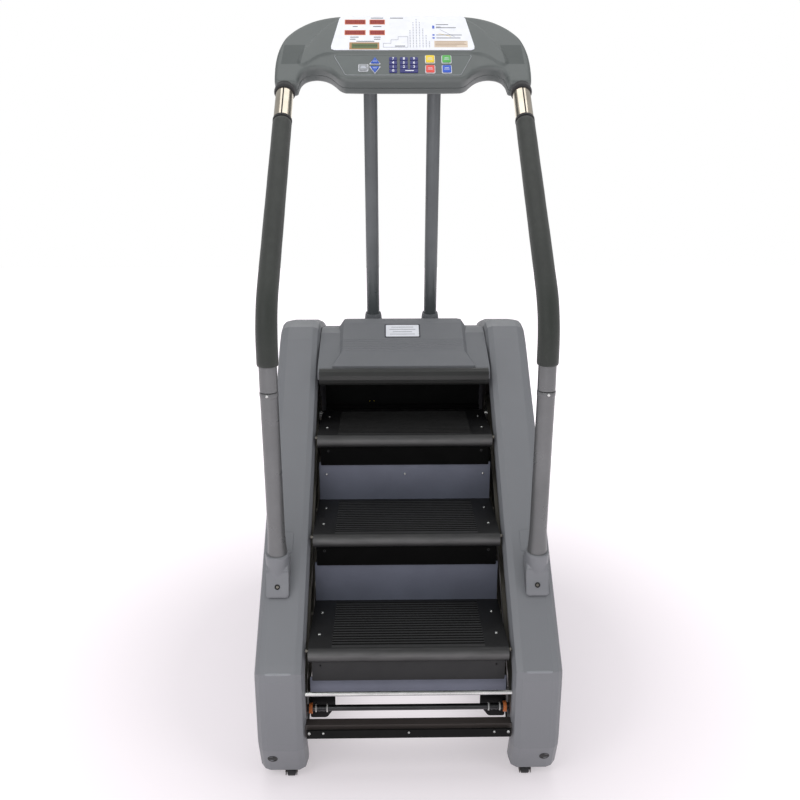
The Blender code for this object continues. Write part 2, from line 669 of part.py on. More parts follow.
# ---------------------------------------------------------------- console
CONSOLE_HALF = [(0.158, 0.047), (0.172, 0.0505), (0.183, 0.058), (0.197, 0.074), (0.212, 0.0865),
                (0.230, 0.094), (0.250, 0.0965), (0.270, 0.0925), (0.284, 0.084), (0.293, 0.070),
                (0.2975, 0.052), (0.300, 0.038), (0.362, 0.038), (0.365, 0.065),
                (0.3645, 0.120), (0.358, 0.165), (0.344, 0.207), (0.325, 0.2315), (0.300, 0.2545),
                (0.264, 0.277), (0.227, 0.2895), (0.193, 0.296), (0.160, 0.2975)]
KEYPAD_HALF = [(0.158, 0.064), (0.165, 0.066), (0.196, 0.132), (0.194, 0.140)]
PANEL_HALF = [(0.196, 0.156), (0.205, 0.160), (0.206, 0.170), (0.184, 0.276), (0.178, 0.285),
              (0.168, 0.286)]
KEYS = [("key_select", -0.113, 0.0925, 0.0140, 0.0135), ("key_yellow", 0.077, 0.124, 0.0140, 0.0150),
        ("key_green", 0.124, 0.124, 0.0140, 0.0150), ("key_red", 0.077, 0.087, 0.0140, 0.0150),
        ("key_blue", 0.124, 0.087, 0.0140, 0.0150)]
ARROWS = [("key_up", -0.080, 0.119, 1.0), ("key_down", -0.080, 0.084, -1.0)]


def console_shells(mat):
    outline = mirrored(CONSOLE_HALF)
    bm = plate_on_console(outline, -FRONT_SHELL_DEPTH, 0.0)
    soften_top(bm, 0.0, 0.012, 2)
    front = finish_object("console_front", bm, mat)
    inner = inset_outline(outline, SHELL_WALL)
    bm = plate_on_console(inner, -FRONT_SHELL_DEPTH - 0.01, -0.010)
    soften_top(bm, -0.010, 0.008, 1)
    hollow = finish_object("console_front_hollow", bm, None)
    bm = plate_on_console(mirrored(KEYPAD_HALF), -0.004, 0.02)
    recess = finish_object("keypad_recess", bm, None)
    cut(front, hollow, recess)
    top = -FRONT_SHELL_DEPTH - GAP
    bm = plate_on_console(outline, -BACK_SHELL_DEPTH, top)
    soften_top(bm, -BACK_SHELL_DEPTH, 0.010, 2)
    back = finish_object("console_back", bm, mat)
    bm = plate_on_console(inner, -BACK_SHELL_DEPTH + SHELL_WALL + 0.002, 0.0)
    soften_top(bm, -BACK_SHELL_DEPTH + SHELL_WALL + 0.002, 0.006, 1)
    cut(back, finish_object("console_back_hollow", bm, None))


def console_face(panel_mat, skin_mat, pad_mat, board_mat):
    bm = plate_on_console(mirrored(PANEL_HALF), GAP, 0.0018)
    finish_object("display_panel", bm, panel_mat)
    skin = inset_outline(mirrored(KEYPAD_HALF), 0.0006)
    finish_object("keypad_skin", plate_on_console(skin, -0.0037, -0.0020), skin_mat)
    pad = mirrored([(0.0415, 0.076), (0.0415, 0.134)])
    finish_object("number_pad", plate_on_console(pad, -0.0017, 0.0006), pad_mat)
    board = mirrored([(0.150, 0.080), (0.165, 0.260)])
    finish_object("display_board", plate_on_console(board, -0.026, -0.0244), board_mat)


def key(name, outline, mat):
    count = len(outline)
    centre = on_console(sum(u for u, _ in outline) / count, sum(w for _, w in outline) / count, 0.0)
    bm = plate_on_console(outline, -0.0008, 0.0018)
    soften_top(bm, 0.0018, 0.0008, 1)
    finish_object(name, bm, mat, centre)


def console_keys(mats):
    for name, u, w, half_u, half_w in KEYS:
        outline = [(u - half_u, w - half_w), (u + half_u, w - half_w), (u + half_u, w + half_w),
                   (u - half_u, w + half_w)]
        key(name, outline, mats[name])
    for name, u, w, way in ARROWS:
        outline = [(u - 0.0155, w - 0.013 * way), (u + 0.0155, w - 0.013 * way), (u, w + 0.013 * way)]
        key(name, outline, mats[name])


# ---------------------------------------------------------------- floor contact
def wheel(side, mat):
    name = "left_wheel" if side < 0 else "right_wheel"
    bm = ring_mesh(WHEEL_CENTRE, side * 0.2940, side * 0.3160, WHEEL_RADIUS, 0.0048, sides=28)
    finish_object(name, bm, mat, at(side * WHEEL_X, *WHEEL_CENTRE))


def rear_foot(side, mat):
    name = "left_rear_foot" if side < 0 else "right_rear_foot"
    bm = bmesh.new()
    rings = []
    for z, radius in ((-DATUM_LIFT, 0.022), (-0.002, 0.024), (0.004, 0.014), (0.010, 0.007),
                      (0.085 - GAP, 0.007)):
        rings.append([bm.verts.new(at(side * 0.3103 + radius * math.cos(2 * math.pi * k / 16),
                                      FOOT_Y + radius * math.sin(2 * math.pi * k / 16), z))
                      for k in range(16)])
    skin_rings(bm, rings)
    bm.faces.new(rings[0])
    bm.faces.new(rings[-1])
    finish_object(name, bm, mat)


# ---------------------------------------------------------------- whole machine
def build():
    start_scene()
    cover_grey = material("cover_grey", (0.195, 0.200, 0.212), 0.55)
    hood_grey = material("hood_grey", (0.170, 0.173, 0.185), 0.55)
    console_grey = material("console_grey", (0.200, 0.215, 0.225), 0.50)
    frame_black = material("frame_black", (0.030, 0.030, 0.034), 0.50, 0.2)
    tube_grey = material("tube_grey", (0.125, 0.128, 0.130), 0.40, 0.2)
    tread_black = material("tread_black", (0.015, 0.015, 0.016), 0.45)
    riser_blue = material("riser_grey", (0.085, 0.095, 0.125), 0.45, 0.3)
    steel = material("bright_steel", (0.62, 0.62, 0.60), 0.28, 1.0)
    chrome = material("sensor_chrome", (0.72, 0.68, 0.60), 0.18, 1.0)
    foam = material("foam_black", (0.045, 0.047, 0.045), 0.85)
    rubber = material("rubber_black", (0.020, 0.020, 0.020), 0.75)
    orange = material("bearing_orange", (0.55, 0.16, 0.04), 0.55)
    white = material("panel_white", (0.86, 0.88, 0.92), 0.30)
    skin_grey = material("keypad_grey", (0.190, 0.200, 0.215), 0.45)
    pad_blue = material("pad_indigo", (0.030, 0.035, 0.140), 0.40)
    board_green = material("board_green", (0.030, 0.180, 0.070), 0.50)
    zinc = material("brake_zinc", (0.40, 0.41, 0.42), 0.40, 0.8)
    key_mats = {"key_select": material("key_grey", (0.42, 0.44, 0.46), 0.40),
                "key_up": material("key_up_blue", (0.040, 0.130, 0.450), 0.40),
                "key_down": material("key_down_blue", (0.040, 0.130, 0.450), 0.40),
                "key_yellow": material("key_yellow", (0.800, 0.560, 0.050), 0.40),
                "key_green": material("key_green", (0.060, 0.420, 0.120), 0.40),
                "key_red": material("key_red", (0.650, 0.060, 0.045), 0.40),
                "key_blue": material("key_blue", (0.030, 0.200, 0.520), 0.40)}

    lower = along_stair(LOWER_SHAFT_ALONG, SHAFT_DEPTH)
    upper = along_stair(UPPER_SHAFT_ALONG, SHAFT_DEPTH)

    base_frame(frame_black)
    top_hood(hood_grey)
    hood_nose_bar(rubber)
    rear_cover(cover_grey, rubber)
    front_trim(frame_black, steel)
    inner_shield(frame_black)
    for side in (-1, 1):
        side_cover(side, cover_grey)
        side_plate(side, frame_black, lower, upper)
        chain(side, steel, lower, upper)
        bearing(side, orange, lower)
        post(side, tube_grey)
        rail_set(side, tube_grey, foam, chrome)
        rail_bracket(side, cover_grey)
        wheel(side, rubber)
        rear_foot(side, rubber)

    collars = (-0.244, -0.2155, 0.2155, 0.244)
    shaft("lower_shaft", steel, lower,
          stepped(0.2896, LOWER_SHAFT_RADIUS, collars, 0.016, 0.010))
    pulley = turned_mesh(upper, [(PULLEY_INNER_X, BIG_PULLEY_RADIUS), (PULLEY_OUTER_X, BIG_PULLEY_RADIUS)],
                         sides=36)
    shaft("upper_shaft", steel, upper,
          stepped(0.2896, UPPER_SHAFT_RADIUS, (), 0.0, 0.0, far=0.355), extra=(pulley,))
    brake(zinc, steel, rubber, upper)

    for step in range(1, VISIBLE_STEPS + 1):
        visible_step(step, tread_black, riser_blue)
        return_step(step, tread_black)

    console_shells(console_grey)
    console_face(white, skin_grey, pad_blue, board_green)
    console_keys(key_mats)


build()
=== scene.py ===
import json
import math

import bmesh
import bpy
import numpy as np
from mathutils import Matrix, Vector
from mathutils.bvhtree import BVHTree
from mathutils.geometry import delaunay_2d_cdt


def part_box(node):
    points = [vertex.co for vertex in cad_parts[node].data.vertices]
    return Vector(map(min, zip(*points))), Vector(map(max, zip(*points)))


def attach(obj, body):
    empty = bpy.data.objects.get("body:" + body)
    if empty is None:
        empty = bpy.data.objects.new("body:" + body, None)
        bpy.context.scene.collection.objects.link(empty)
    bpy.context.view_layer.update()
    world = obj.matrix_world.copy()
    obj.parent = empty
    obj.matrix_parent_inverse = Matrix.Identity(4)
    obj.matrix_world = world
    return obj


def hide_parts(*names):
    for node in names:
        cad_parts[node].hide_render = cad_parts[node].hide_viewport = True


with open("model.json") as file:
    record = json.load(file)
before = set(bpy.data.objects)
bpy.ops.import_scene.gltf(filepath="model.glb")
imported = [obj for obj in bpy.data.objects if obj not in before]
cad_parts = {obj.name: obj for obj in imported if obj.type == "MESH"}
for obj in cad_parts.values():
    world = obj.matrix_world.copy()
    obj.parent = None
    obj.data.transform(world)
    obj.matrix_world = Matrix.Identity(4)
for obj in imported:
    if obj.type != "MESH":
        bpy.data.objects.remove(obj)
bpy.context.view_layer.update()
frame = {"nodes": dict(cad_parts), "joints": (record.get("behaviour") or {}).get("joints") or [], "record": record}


# ---------------------------------------------------------------- materials
def linear(r, g, b):
    """Linear colour of an sRGB colour given as 0-255."""
    def channel(v):
        v /= 255.0
        return v / 12.92 if v <= 0.04045 else ((v + 0.055) / 1.055) ** 2.4
    return (channel(r), channel(g), channel(b), 1.0)


class Nodes:
    """Small helper that adds and links shader nodes of one material."""

    def __init__(self, name):
        self.mat = bpy.data.materials.new(name)
        self.mat.use_nodes = True
        self.tree = self.mat.node_tree
        self.tree.nodes.clear()
        self.shader = self.add("ShaderNodeBsdfPrincipled")
        output = self.add("ShaderNodeOutputMaterial")
        self.link(self.shader.outputs[0], output.inputs[0])
        self.place = self.add("ShaderNodeTexCoord").outputs["Object"]

    def add(self, kind, inputs=(), **values):
        """New node with these properties; an input is given a plain value or another node's output."""
        node = self.tree.nodes.new(kind)
        for key, value in values.items():
            setattr(node, key, value)
        for key, value in dict(inputs).items():
            if isinstance(value, bpy.types.NodeSocket):
                self.link(value, node.inputs[key])
            else:
                node.inputs[key].default_value = value
        return node

    def link(self, a, b):
        self.tree.links.new(a, b)

    def set(self, **values):
        for key, value in values.items():
            self.shader.inputs[key.replace("_", " ")].default_value = value

    def stretched(self, scale):
        return self.add("ShaderNodeMapping", {"Scale": scale, "Vector": self.place}).outputs[0]

    def noise(self, scale, detail=4.0, vector=None):
        return self.add("ShaderNodeTexNoise", {"Scale": scale, "Detail": detail, "Roughness": 0.55,
                                               "Vector": vector or self.place}).outputs[0]

    def cells(self, scale):
        return self.add("ShaderNodeTexVoronoi", {"Scale": scale, "Vector": self.place}).outputs["Distance"]

    def span(self, value, low, high, to_low, to_high):
        """Stretch of a value from low-high to to_low-to_high."""
        node = self.add("ShaderNodeMapRange", enumerate((value, low, high, to_low, to_high)))
        return node.outputs[0]

    def mottled(self, colour, scale, detail, dark, light, high=0.7):
        """Colour that drifts between a darker and a lighter shade."""
        node = self.add("ShaderNodeValToRGB", {0: self.noise(scale, detail)})
        for element, position, factor in zip(node.color_ramp.elements, (0.3, high), (dark, light)):
            element.position = position
            element.color = shade(colour, factor)
        return node.outputs[0]

    def gloss(self, scale, detail, low, high):
        """Roughness that drifts between two levels."""
        return self.span(self.noise(scale, detail), 0.3, 0.7, low, high)

    def mix(self, factor, a, b):
        return self.add("ShaderNodeMix", {0: factor, 6: a, 7: b}, data_type="RGBA").outputs[2]

    def times(self, a, b):
        return self.add("ShaderNodeMath", {0: a, 1: b}, operation="MULTIPLY").outputs[0]

    def bump(self, height, strength, distance, under=None):
        inputs = {"Strength": strength, "Distance": distance, "Height": height}
        if under is not None:
            inputs["Normal"] = under
        return self.add("ShaderNodeBump", inputs).outputs[0]

    def edge(self, radius):
        """1 on sharp edges and 0 on flat areas, and the normal with those edges softened."""
        soft = self.add("ShaderNodeBevel", {"Radius": radius}, samples=4).outputs[0]
        normal = self.add("ShaderNodeNewGeometry").outputs["Normal"]
        dot = self.add("ShaderNodeVectorMath", {0: soft, 1: normal}, operation="DOT_PRODUCT")
        return self.span(dot.outputs["Value"], 0.99, 0.86, 0.0, 1.0), soft

    def finish(self, colour=None, roughness=None, normal=None):
        for name, value in (("Base Color", colour), ("Roughness", roughness), ("Normal", normal)):
            if value is not None:
                self.link(value, self.shader.inputs[name])
        return self.mat


def shade(colour, factor):
    return tuple(min(1.0, c * factor) for c in colour[:3]) + (1.0,)


def moulded(name, colour, rough, grain=0.06, coat=0.0, edge_radius=0.0012):
    """Moulded plastic with a fine spark-eroded grain, faint dust, and edges painted lighter, partly as rubbed wear
    and partly as a painted edge highlight.
    """
    n = Nodes(name)
    base = n.mottled(colour, 3.5, 5.0, 0.97, 1.03)
    base = n.mix(n.span(n.noise(950.0, 2.0), 0.35, 0.70, 0.0, 0.22), base, shade(colour, 1.25))
    worn, soft = n.edge(edge_radius)
    # lighter sharp edges: rubbed wear and a painted edge highlight
    base = n.mix(n.times(worn, 0.35), base, shade(colour, 1.5))
    roughness = n.gloss(16.0, 6.0, rough - 0.06, rough + 0.08)
    pits = n.bump(n.cells(1150.0), grain * 2.2, 0.00012, soft)
    normal = n.bump(n.noise(24.0, 3.0), grain, 0.0010, pits)
    n.set(Specular_IOR_Level=0.45, Coat_Weight=coat, Coat_Roughness=0.25)
    return n.finish(base, roughness, normal)


def coated(name, colour, rough, metallic=0.0, wear=0.25, shine=0.5):
    """Powder-coated steel: orange-peel skin, slightly uneven gloss, paint rubbed thin on edges."""
    n = Nodes(name)
    base = n.mottled(colour, 5.0, 6.0, 0.88, 1.12)
    worn, soft = n.edge(0.0012)
    scuffs = n.span(n.noise(60.0, 5.0, vector=n.stretched((1.0, 0.25, 3.0))), 0.52, 0.72, 0.0, 1.0)
    both = n.add("ShaderNodeMath", {0: worn, 1: n.times(scuffs, 0.25)}, operation="ADD").outputs[0]
    base = n.mix(n.times(both, wear), base, shade(colour, 2.6))
    roughness = n.gloss(22.0, 5.0, rough - 0.07, rough + 0.10)
    peel = n.bump(n.noise(420.0, 2.0), 0.10, 0.0003, soft)
    n.set(Metallic=metallic, Specular_IOR_Level=shine)
    return n.finish(base, roughness, peel)


def nose_painted_highlight(name, dark, light, rough):
    """Rounded tread edge: a painted highlight, lighter where the nose faces forward and darker towards its top and
    underside, broken by streaks of rubbed wear.
    """
    n = Nodes(name)
    normal = n.add("ShaderNodeNewGeometry").outputs["Normal"]
    upward = n.add("ShaderNodeSeparateXYZ", {0: normal}).outputs["Z"]
    upper = n.span(upward, 0.25, 0.99, 1.0, 0.0)
    lower = n.span(upward, -0.75, 0.15, 0.0, 1.0)
    streaks = n.span(n.noise(40.0, 5.0, vector=n.stretched((0.3, 1.0, 2.0))), 0.30, 0.70, 0.62, 1.0)
    # painted highlight band on the forward-facing part of the nose
    base = n.mix(n.times(n.times(upper, lower), streaks), dark, light)
    roughness = n.gloss(30.0, 5.0, rough - 0.06, rough + 0.10)
    n.set(Metallic=0.2, Specular_IOR_Level=0.4)
    return n.finish(base, roughness, n.bump(n.noise(420.0, 2.0), 0.10, 0.0003))


def turned_steel(name, colour, rough, lines=900.0, along=(0.02, 1.0, 1.0)):
    """Drawn or turned steel with fine lines and faint stains."""
    n = Nodes(name)
    base = n.mottled(colour, 14.0, 5.0, 0.82, 1.08)
    fine = n.noise(lines, 3.0, vector=n.stretched(along))
    roughness = n.span(fine, 0.3, 0.7, rough - 0.08, rough + 0.10)
    normal = n.bump(fine, 0.12, 0.00015)
    n.set(Metallic=1.0)
    return n.finish(base, roughness, normal)


def rubbery(name, colour, rough, scale=700.0, strength=0.35):
    """Rubber or closed-cell foam skin: tiny open pores over a soft, slightly dusty surface."""
    n = Nodes(name)
    base = n.mottled(colour, 9.0, 6.0, 0.82, 1.22, 0.75)
    pores = n.cells(scale)
    # darker in the pore pits: painted shade inside the pits
    base = n.mix(n.span(pores, 0.05, 0.35, 0.45, 0.0), base, shade(colour, 0.45))
    dust = n.span(n.noise(220.0, 6.0), 0.55, 0.75, 0.0, 0.20)
    base = n.mix(dust, base, shade(colour, 2.2))
    roughness = n.gloss(40.0, 4.0, rough - 0.06, rough + 0.08)
    normal = n.bump(pores, strength, 0.0004, n.bump(n.noise(55.0, 4.0), 0.15, 0.0012))
    n.set(Specular_IOR_Level=0.3, Sheen_Weight=0.15, Sheen_Roughness=0.6)
    return n.finish(base, roughness, normal)


def printed(name, colour, rough=0.32):
    """Printed film or ink: near-flat colour with slight print mottling and a smooth satin skin."""
    n = Nodes(name)
    base = n.mottled(colour, 30.0, 4.0, 0.96, 1.03)
    roughness = n.gloss(45.0, 5.0, rough - 0.05, rough + 0.08)
    n.set(Specular_IOR_Level=0.4)
    return n.finish(base, roughness, n.bump(n.noise(500.0, 2.0), 0.04, 0.0002))


# Rows are (key, name, sRGB colour, further settings of that kind of material).
LOOKS = {
    moulded: (
        ("cover_grey", "cover_moulding", (119, 121, 125), 0.40, 0.06, 0.0, 0.003),
        ("hood_grey", "hood_moulding", (113, 115, 119), 0.50, 0.07, 0.0, 0.002),
        ("console_grey", "console_moulding_skin", (94, 99, 98), 0.42, 0.04, 0.10),
        ("inlet_black", "inlet_moulding", (30, 30, 32), 0.5),
        ("bearing_orange", "bearing_nylon", (238, 134, 72), 0.45),
        ("board_green", "circuit_board", (30, 96, 60), 0.45),
        # painted highlight for the bead along the covers' knee
        ("crease_grey", "cover_crease", (136, 139, 143), 0.30, 0.02),
        ("lip_black", "nose_bar_moulding", (38, 39, 38), 0.34, 0.03),
        ("bevel_grey", "keypad_bevel", (146, 150, 153), 0.35, 0.03),
        ("white_nylon", "white_nylon", (232, 232, 230), 0.42),
        ("console_patch", "console_patch", (83, 88, 87), 0.55, 0.05, 0.0),
    ),
    coated: (
        ("frame_black", "frame_coat", (22, 22, 24), 0.50, 0.0, 0.12, 0.22),
        ("strip_black", "strip_coat", (12, 12, 12), 0.60, 0.0, 0.1, 0.15),
        ("tube_grey", "tube_coat", (92, 96, 98), 0.34, 0.3, 0.12),
        ("tread_black", "tread_anodised", (21, 21, 22), 0.46, 0.2, 0.35),
        ("riser_grey", "riser_paint", (101, 105, 119), 0.45, 0.2, 0.10),
        ("cross_brown", "cross_bar_coat", (64, 59, 57), 0.38, 0.0, 0.2, 0.4),
        ("groove_black", "tread_groove", (22, 22, 22), 0.70, 0.0, 0.02, 0.10),
        ("rib_black", "tread_rib", (52, 52, 52), 0.46, 0.2, 0.35),
        ("skirt_grey", "first_skirt_coat", (40, 40, 41), 0.50, 0.0, 0.25, 0.3),
        # near-black painted shade for the skirts of steps 2 and 3
        ("skirt_black", "skirt_coat", (10, 10, 10), 0.80, 0.0, 0.02, 0.06),
        ("rail_grey", "rail_coat", (103, 104, 105), 0.32, 0.3, 0.12),
    ),
    turned_steel: (
        ("bright_steel", "bright_turned_steel", (205, 206, 204), 0.24),
        ("chain_steel", "oiled_chain_steel", (120, 117, 110), 0.38, 500.0, (1.0, 1.0, 1.0)),
        ("sensor_chrome", "sensor_plate", (218, 208, 192), 0.16, 700.0, (1.0, 0.05, 0.05)),
        ("brake_zinc", "cast_zinc", (168, 170, 172), 0.46, 160.0, (1.0, 1.0, 1.0)),
        ("axle_steel", "dull_axle_steel", (86, 86, 88), 0.42),
    ),
    rubbery: (
        ("foam_black", "grip_foam", (39, 43, 39), 0.52, 620.0, 0.45),
        ("rubber_black", "black_rubber", (34, 34, 36), 0.74, 900.0, 0.20),
        # black for plugs and cups, also painted shade in vent openings and round the bracket screws
        ("bolt_plug", "bolt_plug", (15, 15, 16), 0.7),
    ),
    printed: (
        ("panel_white", "panel_film", (240, 242, 249), 0.30),
        ("keypad_grey", "keypad_film", (98, 104, 103), 0.38),
        ("pad_indigo", "pad_film", (52, 54, 118), 0.36),
        ("key_grey", "key_film_grey", (150, 154, 158), 0.36),
        ("key_arrow_blue", "key_film_arrow", (56, 92, 186), 0.36),
        ("key_yellow", "key_film_yellow", (238, 208, 60), 0.36),
        ("key_green", "key_film_green", (92, 178, 88), 0.36),
        ("key_red", "key_film_red", (226, 84, 74), 0.36),
        ("key_blue", "key_film_blue", (58, 96, 200), 0.36),
        ("ink_dark", "ink_dark", (58, 60, 66), 0.5),
        ("ink_grey", "ink_grey", (150, 153, 160), 0.5),
        ("ink_brown", "ink_brown", (150, 118, 92), 0.5),
        ("ink_white", "ink_white", (236, 238, 244), 0.42),
        ("ink_pale", "ink_pale", (214, 220, 232), 0.45),
        ("notice_tan", "notice_tan", (222, 206, 188), 0.45),
        ("window_rim", "window_rim", (214, 128, 84), 0.35),
        ("led_window", "led_window", (140, 36, 30), 0.12),
        ("led_segment", "led_segment", (166, 58, 48), 0.3),
        ("lcd_rim", "lcd_rim", (176, 134, 92), 0.4),
        ("lcd_glass", "lcd_glass", (96, 112, 72), 0.15),
        ("lcd_segment", "lcd_segment", (58, 70, 46), 0.3),
    ),
}
MAT = {key: kind(name, linear(*colour), *rest)
       for kind, rows in LOOKS.items() for key, name, colour, *rest in rows}
# tread nose: painted highlight band across its forward-facing part
MAT["tread_nose"] = nose_painted_highlight("tread_nose_painted_highlight", linear(25, 25, 26), linear(95, 95, 95), 0.40)
SLOT_OF = {part["node"]: part["material_slot"] for part in frame["record"]["subparts"]}
for node_name, node in frame["nodes"].items():
    for index in range(len(node.data.materials)):
        node.data.materials[index] = MAT[SLOT_OF[node_name]]
frame["nodes"]["hood_nose_bar"].data.materials[0] = MAT["lip_black"]
frame["nodes"]["base_frame"].data.materials[0] = MAT["cross_brown"]


# ---------------------------------------------------------------- camera, floor and light
CAMERA_PLACE = Vector((-0.0483, -2.4221, 1.5838))
CAMERA_YAW = math.radians(0.843)
CAMERA_PITCH = math.radians(16.679)
CAMERA_ROLL = math.radians(-0.073)
CAMERA_LENS = 38.52


def add_camera():
    data = bpy.data.cameras.new("photo_camera")
    data.sensor_width = 36.0
    data.lens = CAMERA_LENS
    camera = bpy.data.objects.new("photo_camera", data)
    bpy.context.scene.collection.objects.link(camera)
    forward = Vector((math.sin(CAMERA_YAW) * math.cos(CAMERA_PITCH),
                      math.cos(CAMERA_YAW) * math.cos(CAMERA_PITCH), -math.sin(CAMERA_PITCH)))
    flat = Vector((math.cos(CAMERA_YAW), -math.sin(CAMERA_YAW), 0.0))
    level = flat.cross(forward)
    right = flat * math.cos(CAMERA_ROLL) + level * math.sin(CAMERA_ROLL)
    up = right.cross(forward)
    turn = Matrix((right, up, -forward)).transposed()
    camera.matrix_world = Matrix.Translation(CAMERA_PLACE) @ turn.to_4x4()
    bpy.context.scene.camera = camera


def add_floor():
    bm = bmesh.new()
    half = 9.0
    for x, y in ((-half, -half), (half, -half), (half, half), (-half, half)):
        bm.verts.new((x, y, -0.0004))
    bm.faces.new(bm.verts)
    mesh = bpy.data.meshes.new("floor")
    bm.to_mesh(mesh)
    bm.free()
    floor = bpy.data.objects.new("floor", mesh)
    bpy.context.scene.collection.objects.link(floor)
    n = Nodes("pale_floor")
    distance = n.add("ShaderNodeVectorMath", {0: n.place}, operation="LENGTH")
    base = n.mix(n.span(n.noise(0.8, 3.0), 0.35, 0.65, 0.0, 0.03), linear(212, 206, 210),
                 linear(196, 190, 195))
    floor.data.materials.append(n.finish(base, n.gloss(6.0, 4.0, 0.80, 0.90)))
    # The floor glows, more with distance from the machine: painted light that lifts its shadows and fades it into
    # the backdrop, leaving it darker near the machine.
    n.link(n.span(distance.outputs["Value"], 0.7, 2.2, 0.40, 1.0), n.shader.inputs["Emission Strength"])
    n.set(Specular_IOR_Level=0.2, Emission_Color=(1.0, 0.95, 0.985, 1.0))


def add_light(name, place, target, size, power, tint=(1.0, 1.0, 1.0)):
    data = bpy.data.lights.new(name, "AREA")
    data.shape = "RECTANGLE"
    data.size, data.size_y = size
    data.energy = power
    data.color = tint
    lamp = bpy.data.objects.new(name, data)
    bpy.context.scene.collection.objects.link(lamp)
    lamp.location = place
    lamp.visible_camera = False
    lamp.rotation_euler = (Vector(target) - Vector(place)).to_track_quat("-Z", "Y").to_euler()


def add_world():
    """White backdrop, with a softer light for the machine than the backdrop itself would give."""
    world = bpy.data.worlds.new("studio")
    world.use_nodes = True
    tree = world.node_tree
    soft = tree.nodes["Background"]
    soft.inputs[0].default_value = (0.98, 0.99, 1.0, 1.0)
    soft.inputs[1].default_value = 0.46
    white = tree.nodes.new("ShaderNodeBackground")
    white.inputs[0].default_value = (1.0, 1.0, 1.0, 1.0)
    path = tree.nodes.new("ShaderNodeLightPath")
    mix = tree.nodes.new("ShaderNodeMixShader")
    output = next(n for n in tree.nodes if n.type == "OUTPUT_WORLD")
    for source, socket in ((path.outputs["Is Camera Ray"], mix.inputs[0]), (soft.outputs[0], mix.inputs[1]),
                           (white.outputs[0], mix.inputs[2]), (mix.outputs[0], output.inputs[0])):
        tree.links.new(source, socket)
    bpy.context.scene.world = world
    bpy.context.scene.view_settings.view_transform = "Standard"


add_camera()
add_floor()
add_world()
add_light("key", (-1.8, -2.8, 3.2), (0.0, -0.1, 0.7), (2.0, 1.6), 31.0)
add_light("front", (-0.5, -3.3, 1.35), (0.0, -0.3, 0.6), (0.8, 0.6), 9.0)
add_light("fill", (2.6, -2.4, 2.4), (0.0, 0.0, 0.8), (1.6, 2.0), 13.0)
add_light("top", (0.0, 0.3, 4.0), (0.0, 0.0, 1.0), (3.0, 3.0), 34.0)
add_light("back", (0.0, 3.4, 2.6), (0.0, 0.3, 1.0), (3.0, 2.0), 16.0)
add_light("under", (0.0, -0.22, 0.125), (0.0, -0.22, 0.0), (0.40, 0.34), 0.35)


# ---------------------------------------------------------------- mesh helpers
RIGHT = Vector((1.0, 0.0, 0.0))
FORWARD = Vector((0.0, -1.0, 0.0))
SIDES = ((-1, "left"), (1, "right"))


def lerp(a, b, t):
    return a + (b - a) * t


def stitch(bm, rings, slot=0):
    """Closed skin through rings of points, with a face over both ends."""
    rings = [[bm.verts.new(point) for point in ring] for ring in rings]
    count = len(rings[0])
    faces = [bm.faces.new((first[k], first[(k + 1) % count], second[(k + 1) % count], second[k]))
             for first, second in zip(rings, rings[1:]) for k in range(count)]
    faces += [bm.faces.new(rings[0][::-1]), bm.faces.new(rings[-1])]
    for face in faces:
        face.material_index = slot


def circle(radius, sides):
    """Points round a circle, as pairs."""
    angles = [2 * math.pi * k / sides for k in range(sides)]
    return [(radius * math.cos(angle), radius * math.sin(angle)) for angle in angles]


def add_prism(bm, points, low, high, slot=0):
    """Closed prism along X through (y, z) points."""
    stitch(bm, [[(x, y, z) for y, z in points] for x in (low, high)], slot)


def add_upright(bm, points, front, rear, slot=0):
    """Closed plate that stands square to Y, through (x, z) points."""
    stitch(bm, [[(x, y, z) for x, z in points] for y in (front, rear)], slot)


def add_turned(bm, profile, origin, axis, sides=24, slot=0):
    """Closed turned shape: profile is (distance along axis, radius) from one end to the other."""
    turn = Vector(axis).normalized().to_track_quat("Z", "Y").to_matrix()
    stitch(bm, [[Vector(origin) + turn @ Vector((a, b, reach)) for a, b in circle(radius, sides)]
                for reach, radius in profile], slot)


def add_bead(bm, path, radii, sides=32):
    """Round bead that runs along X, with its rings square to X."""
    stitch(bm, [[point + Vector((0.0, a, b)) for a, b in circle(radius, sides)]
                for point, radius in zip(path, radii)])


def add_sweep(bm, path, radii, sides=40):
    """Round tube through points that share one X."""
    rings = []
    for k, point in enumerate(path):
        before, after = path[max(k - 1, 0)], path[min(k + 1, len(path) - 1)]
        other = (after - before).normalized().cross(RIGHT).normalized()
        rings.append([point + RIGHT * a + other * b for a, b in circle(radii[k], sides)])
    stitch(bm, rings)


def make(name, bm, looks, body="base", sharp=32.0, replaces=None):
    """Turn a bmesh into a piece: looks names its materials."""
    bmesh.ops.recalc_face_normals(bm, faces=bm.faces)
    mesh = bpy.data.meshes.new(name)
    bm.to_mesh(mesh)
    bm.free()
    looks = looks.split()
    for look in looks:
        mesh.materials.append(MAT[look])
    mesh.shade_smooth()
    mesh.set_sharp_from_angle(angle=math.radians(sharp))
    piece = bpy.data.objects.new(name, mesh)
    bpy.context.scene.collection.objects.link(piece)
    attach(piece, body)
    if replaces:
        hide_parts(replaces)
    return piece


def add_screw(bm, place, normal, radius=0.0048, height=0.0028):
    """Domed screw head with a hexagon socket."""
    dome = [(-0.0005, radius), (height * 0.45, radius), (height * 0.80, radius * 0.86),
            (height, radius * 0.62), (height, radius * 0.45), (height * 0.35, radius * 0.42)]
    add_turned(bm, dome, place, normal, 18)


def grid_round(points, radius, steps=3):
    """Closed outline with every corner rounded by a small arc."""
    out = []
    count = len(points)
    for k in range(count):
        corner = Vector(points[k])
        before = Vector(points[k - 1]) - corner
        after = Vector(points[(k + 1) % count]) - corner
        reach = min(radius, before.length * 0.45, after.length * 0.45)
        first, last = corner + before.normalized() * reach, corner + after.normalized() * reach
        for j in range(steps + 1):
            t = j / steps
            out.append(first * (1 - t) ** 2 + corner * 2 * t * (1 - t) + last * t ** 2)
    return [(p.x, p.y) for p in out]


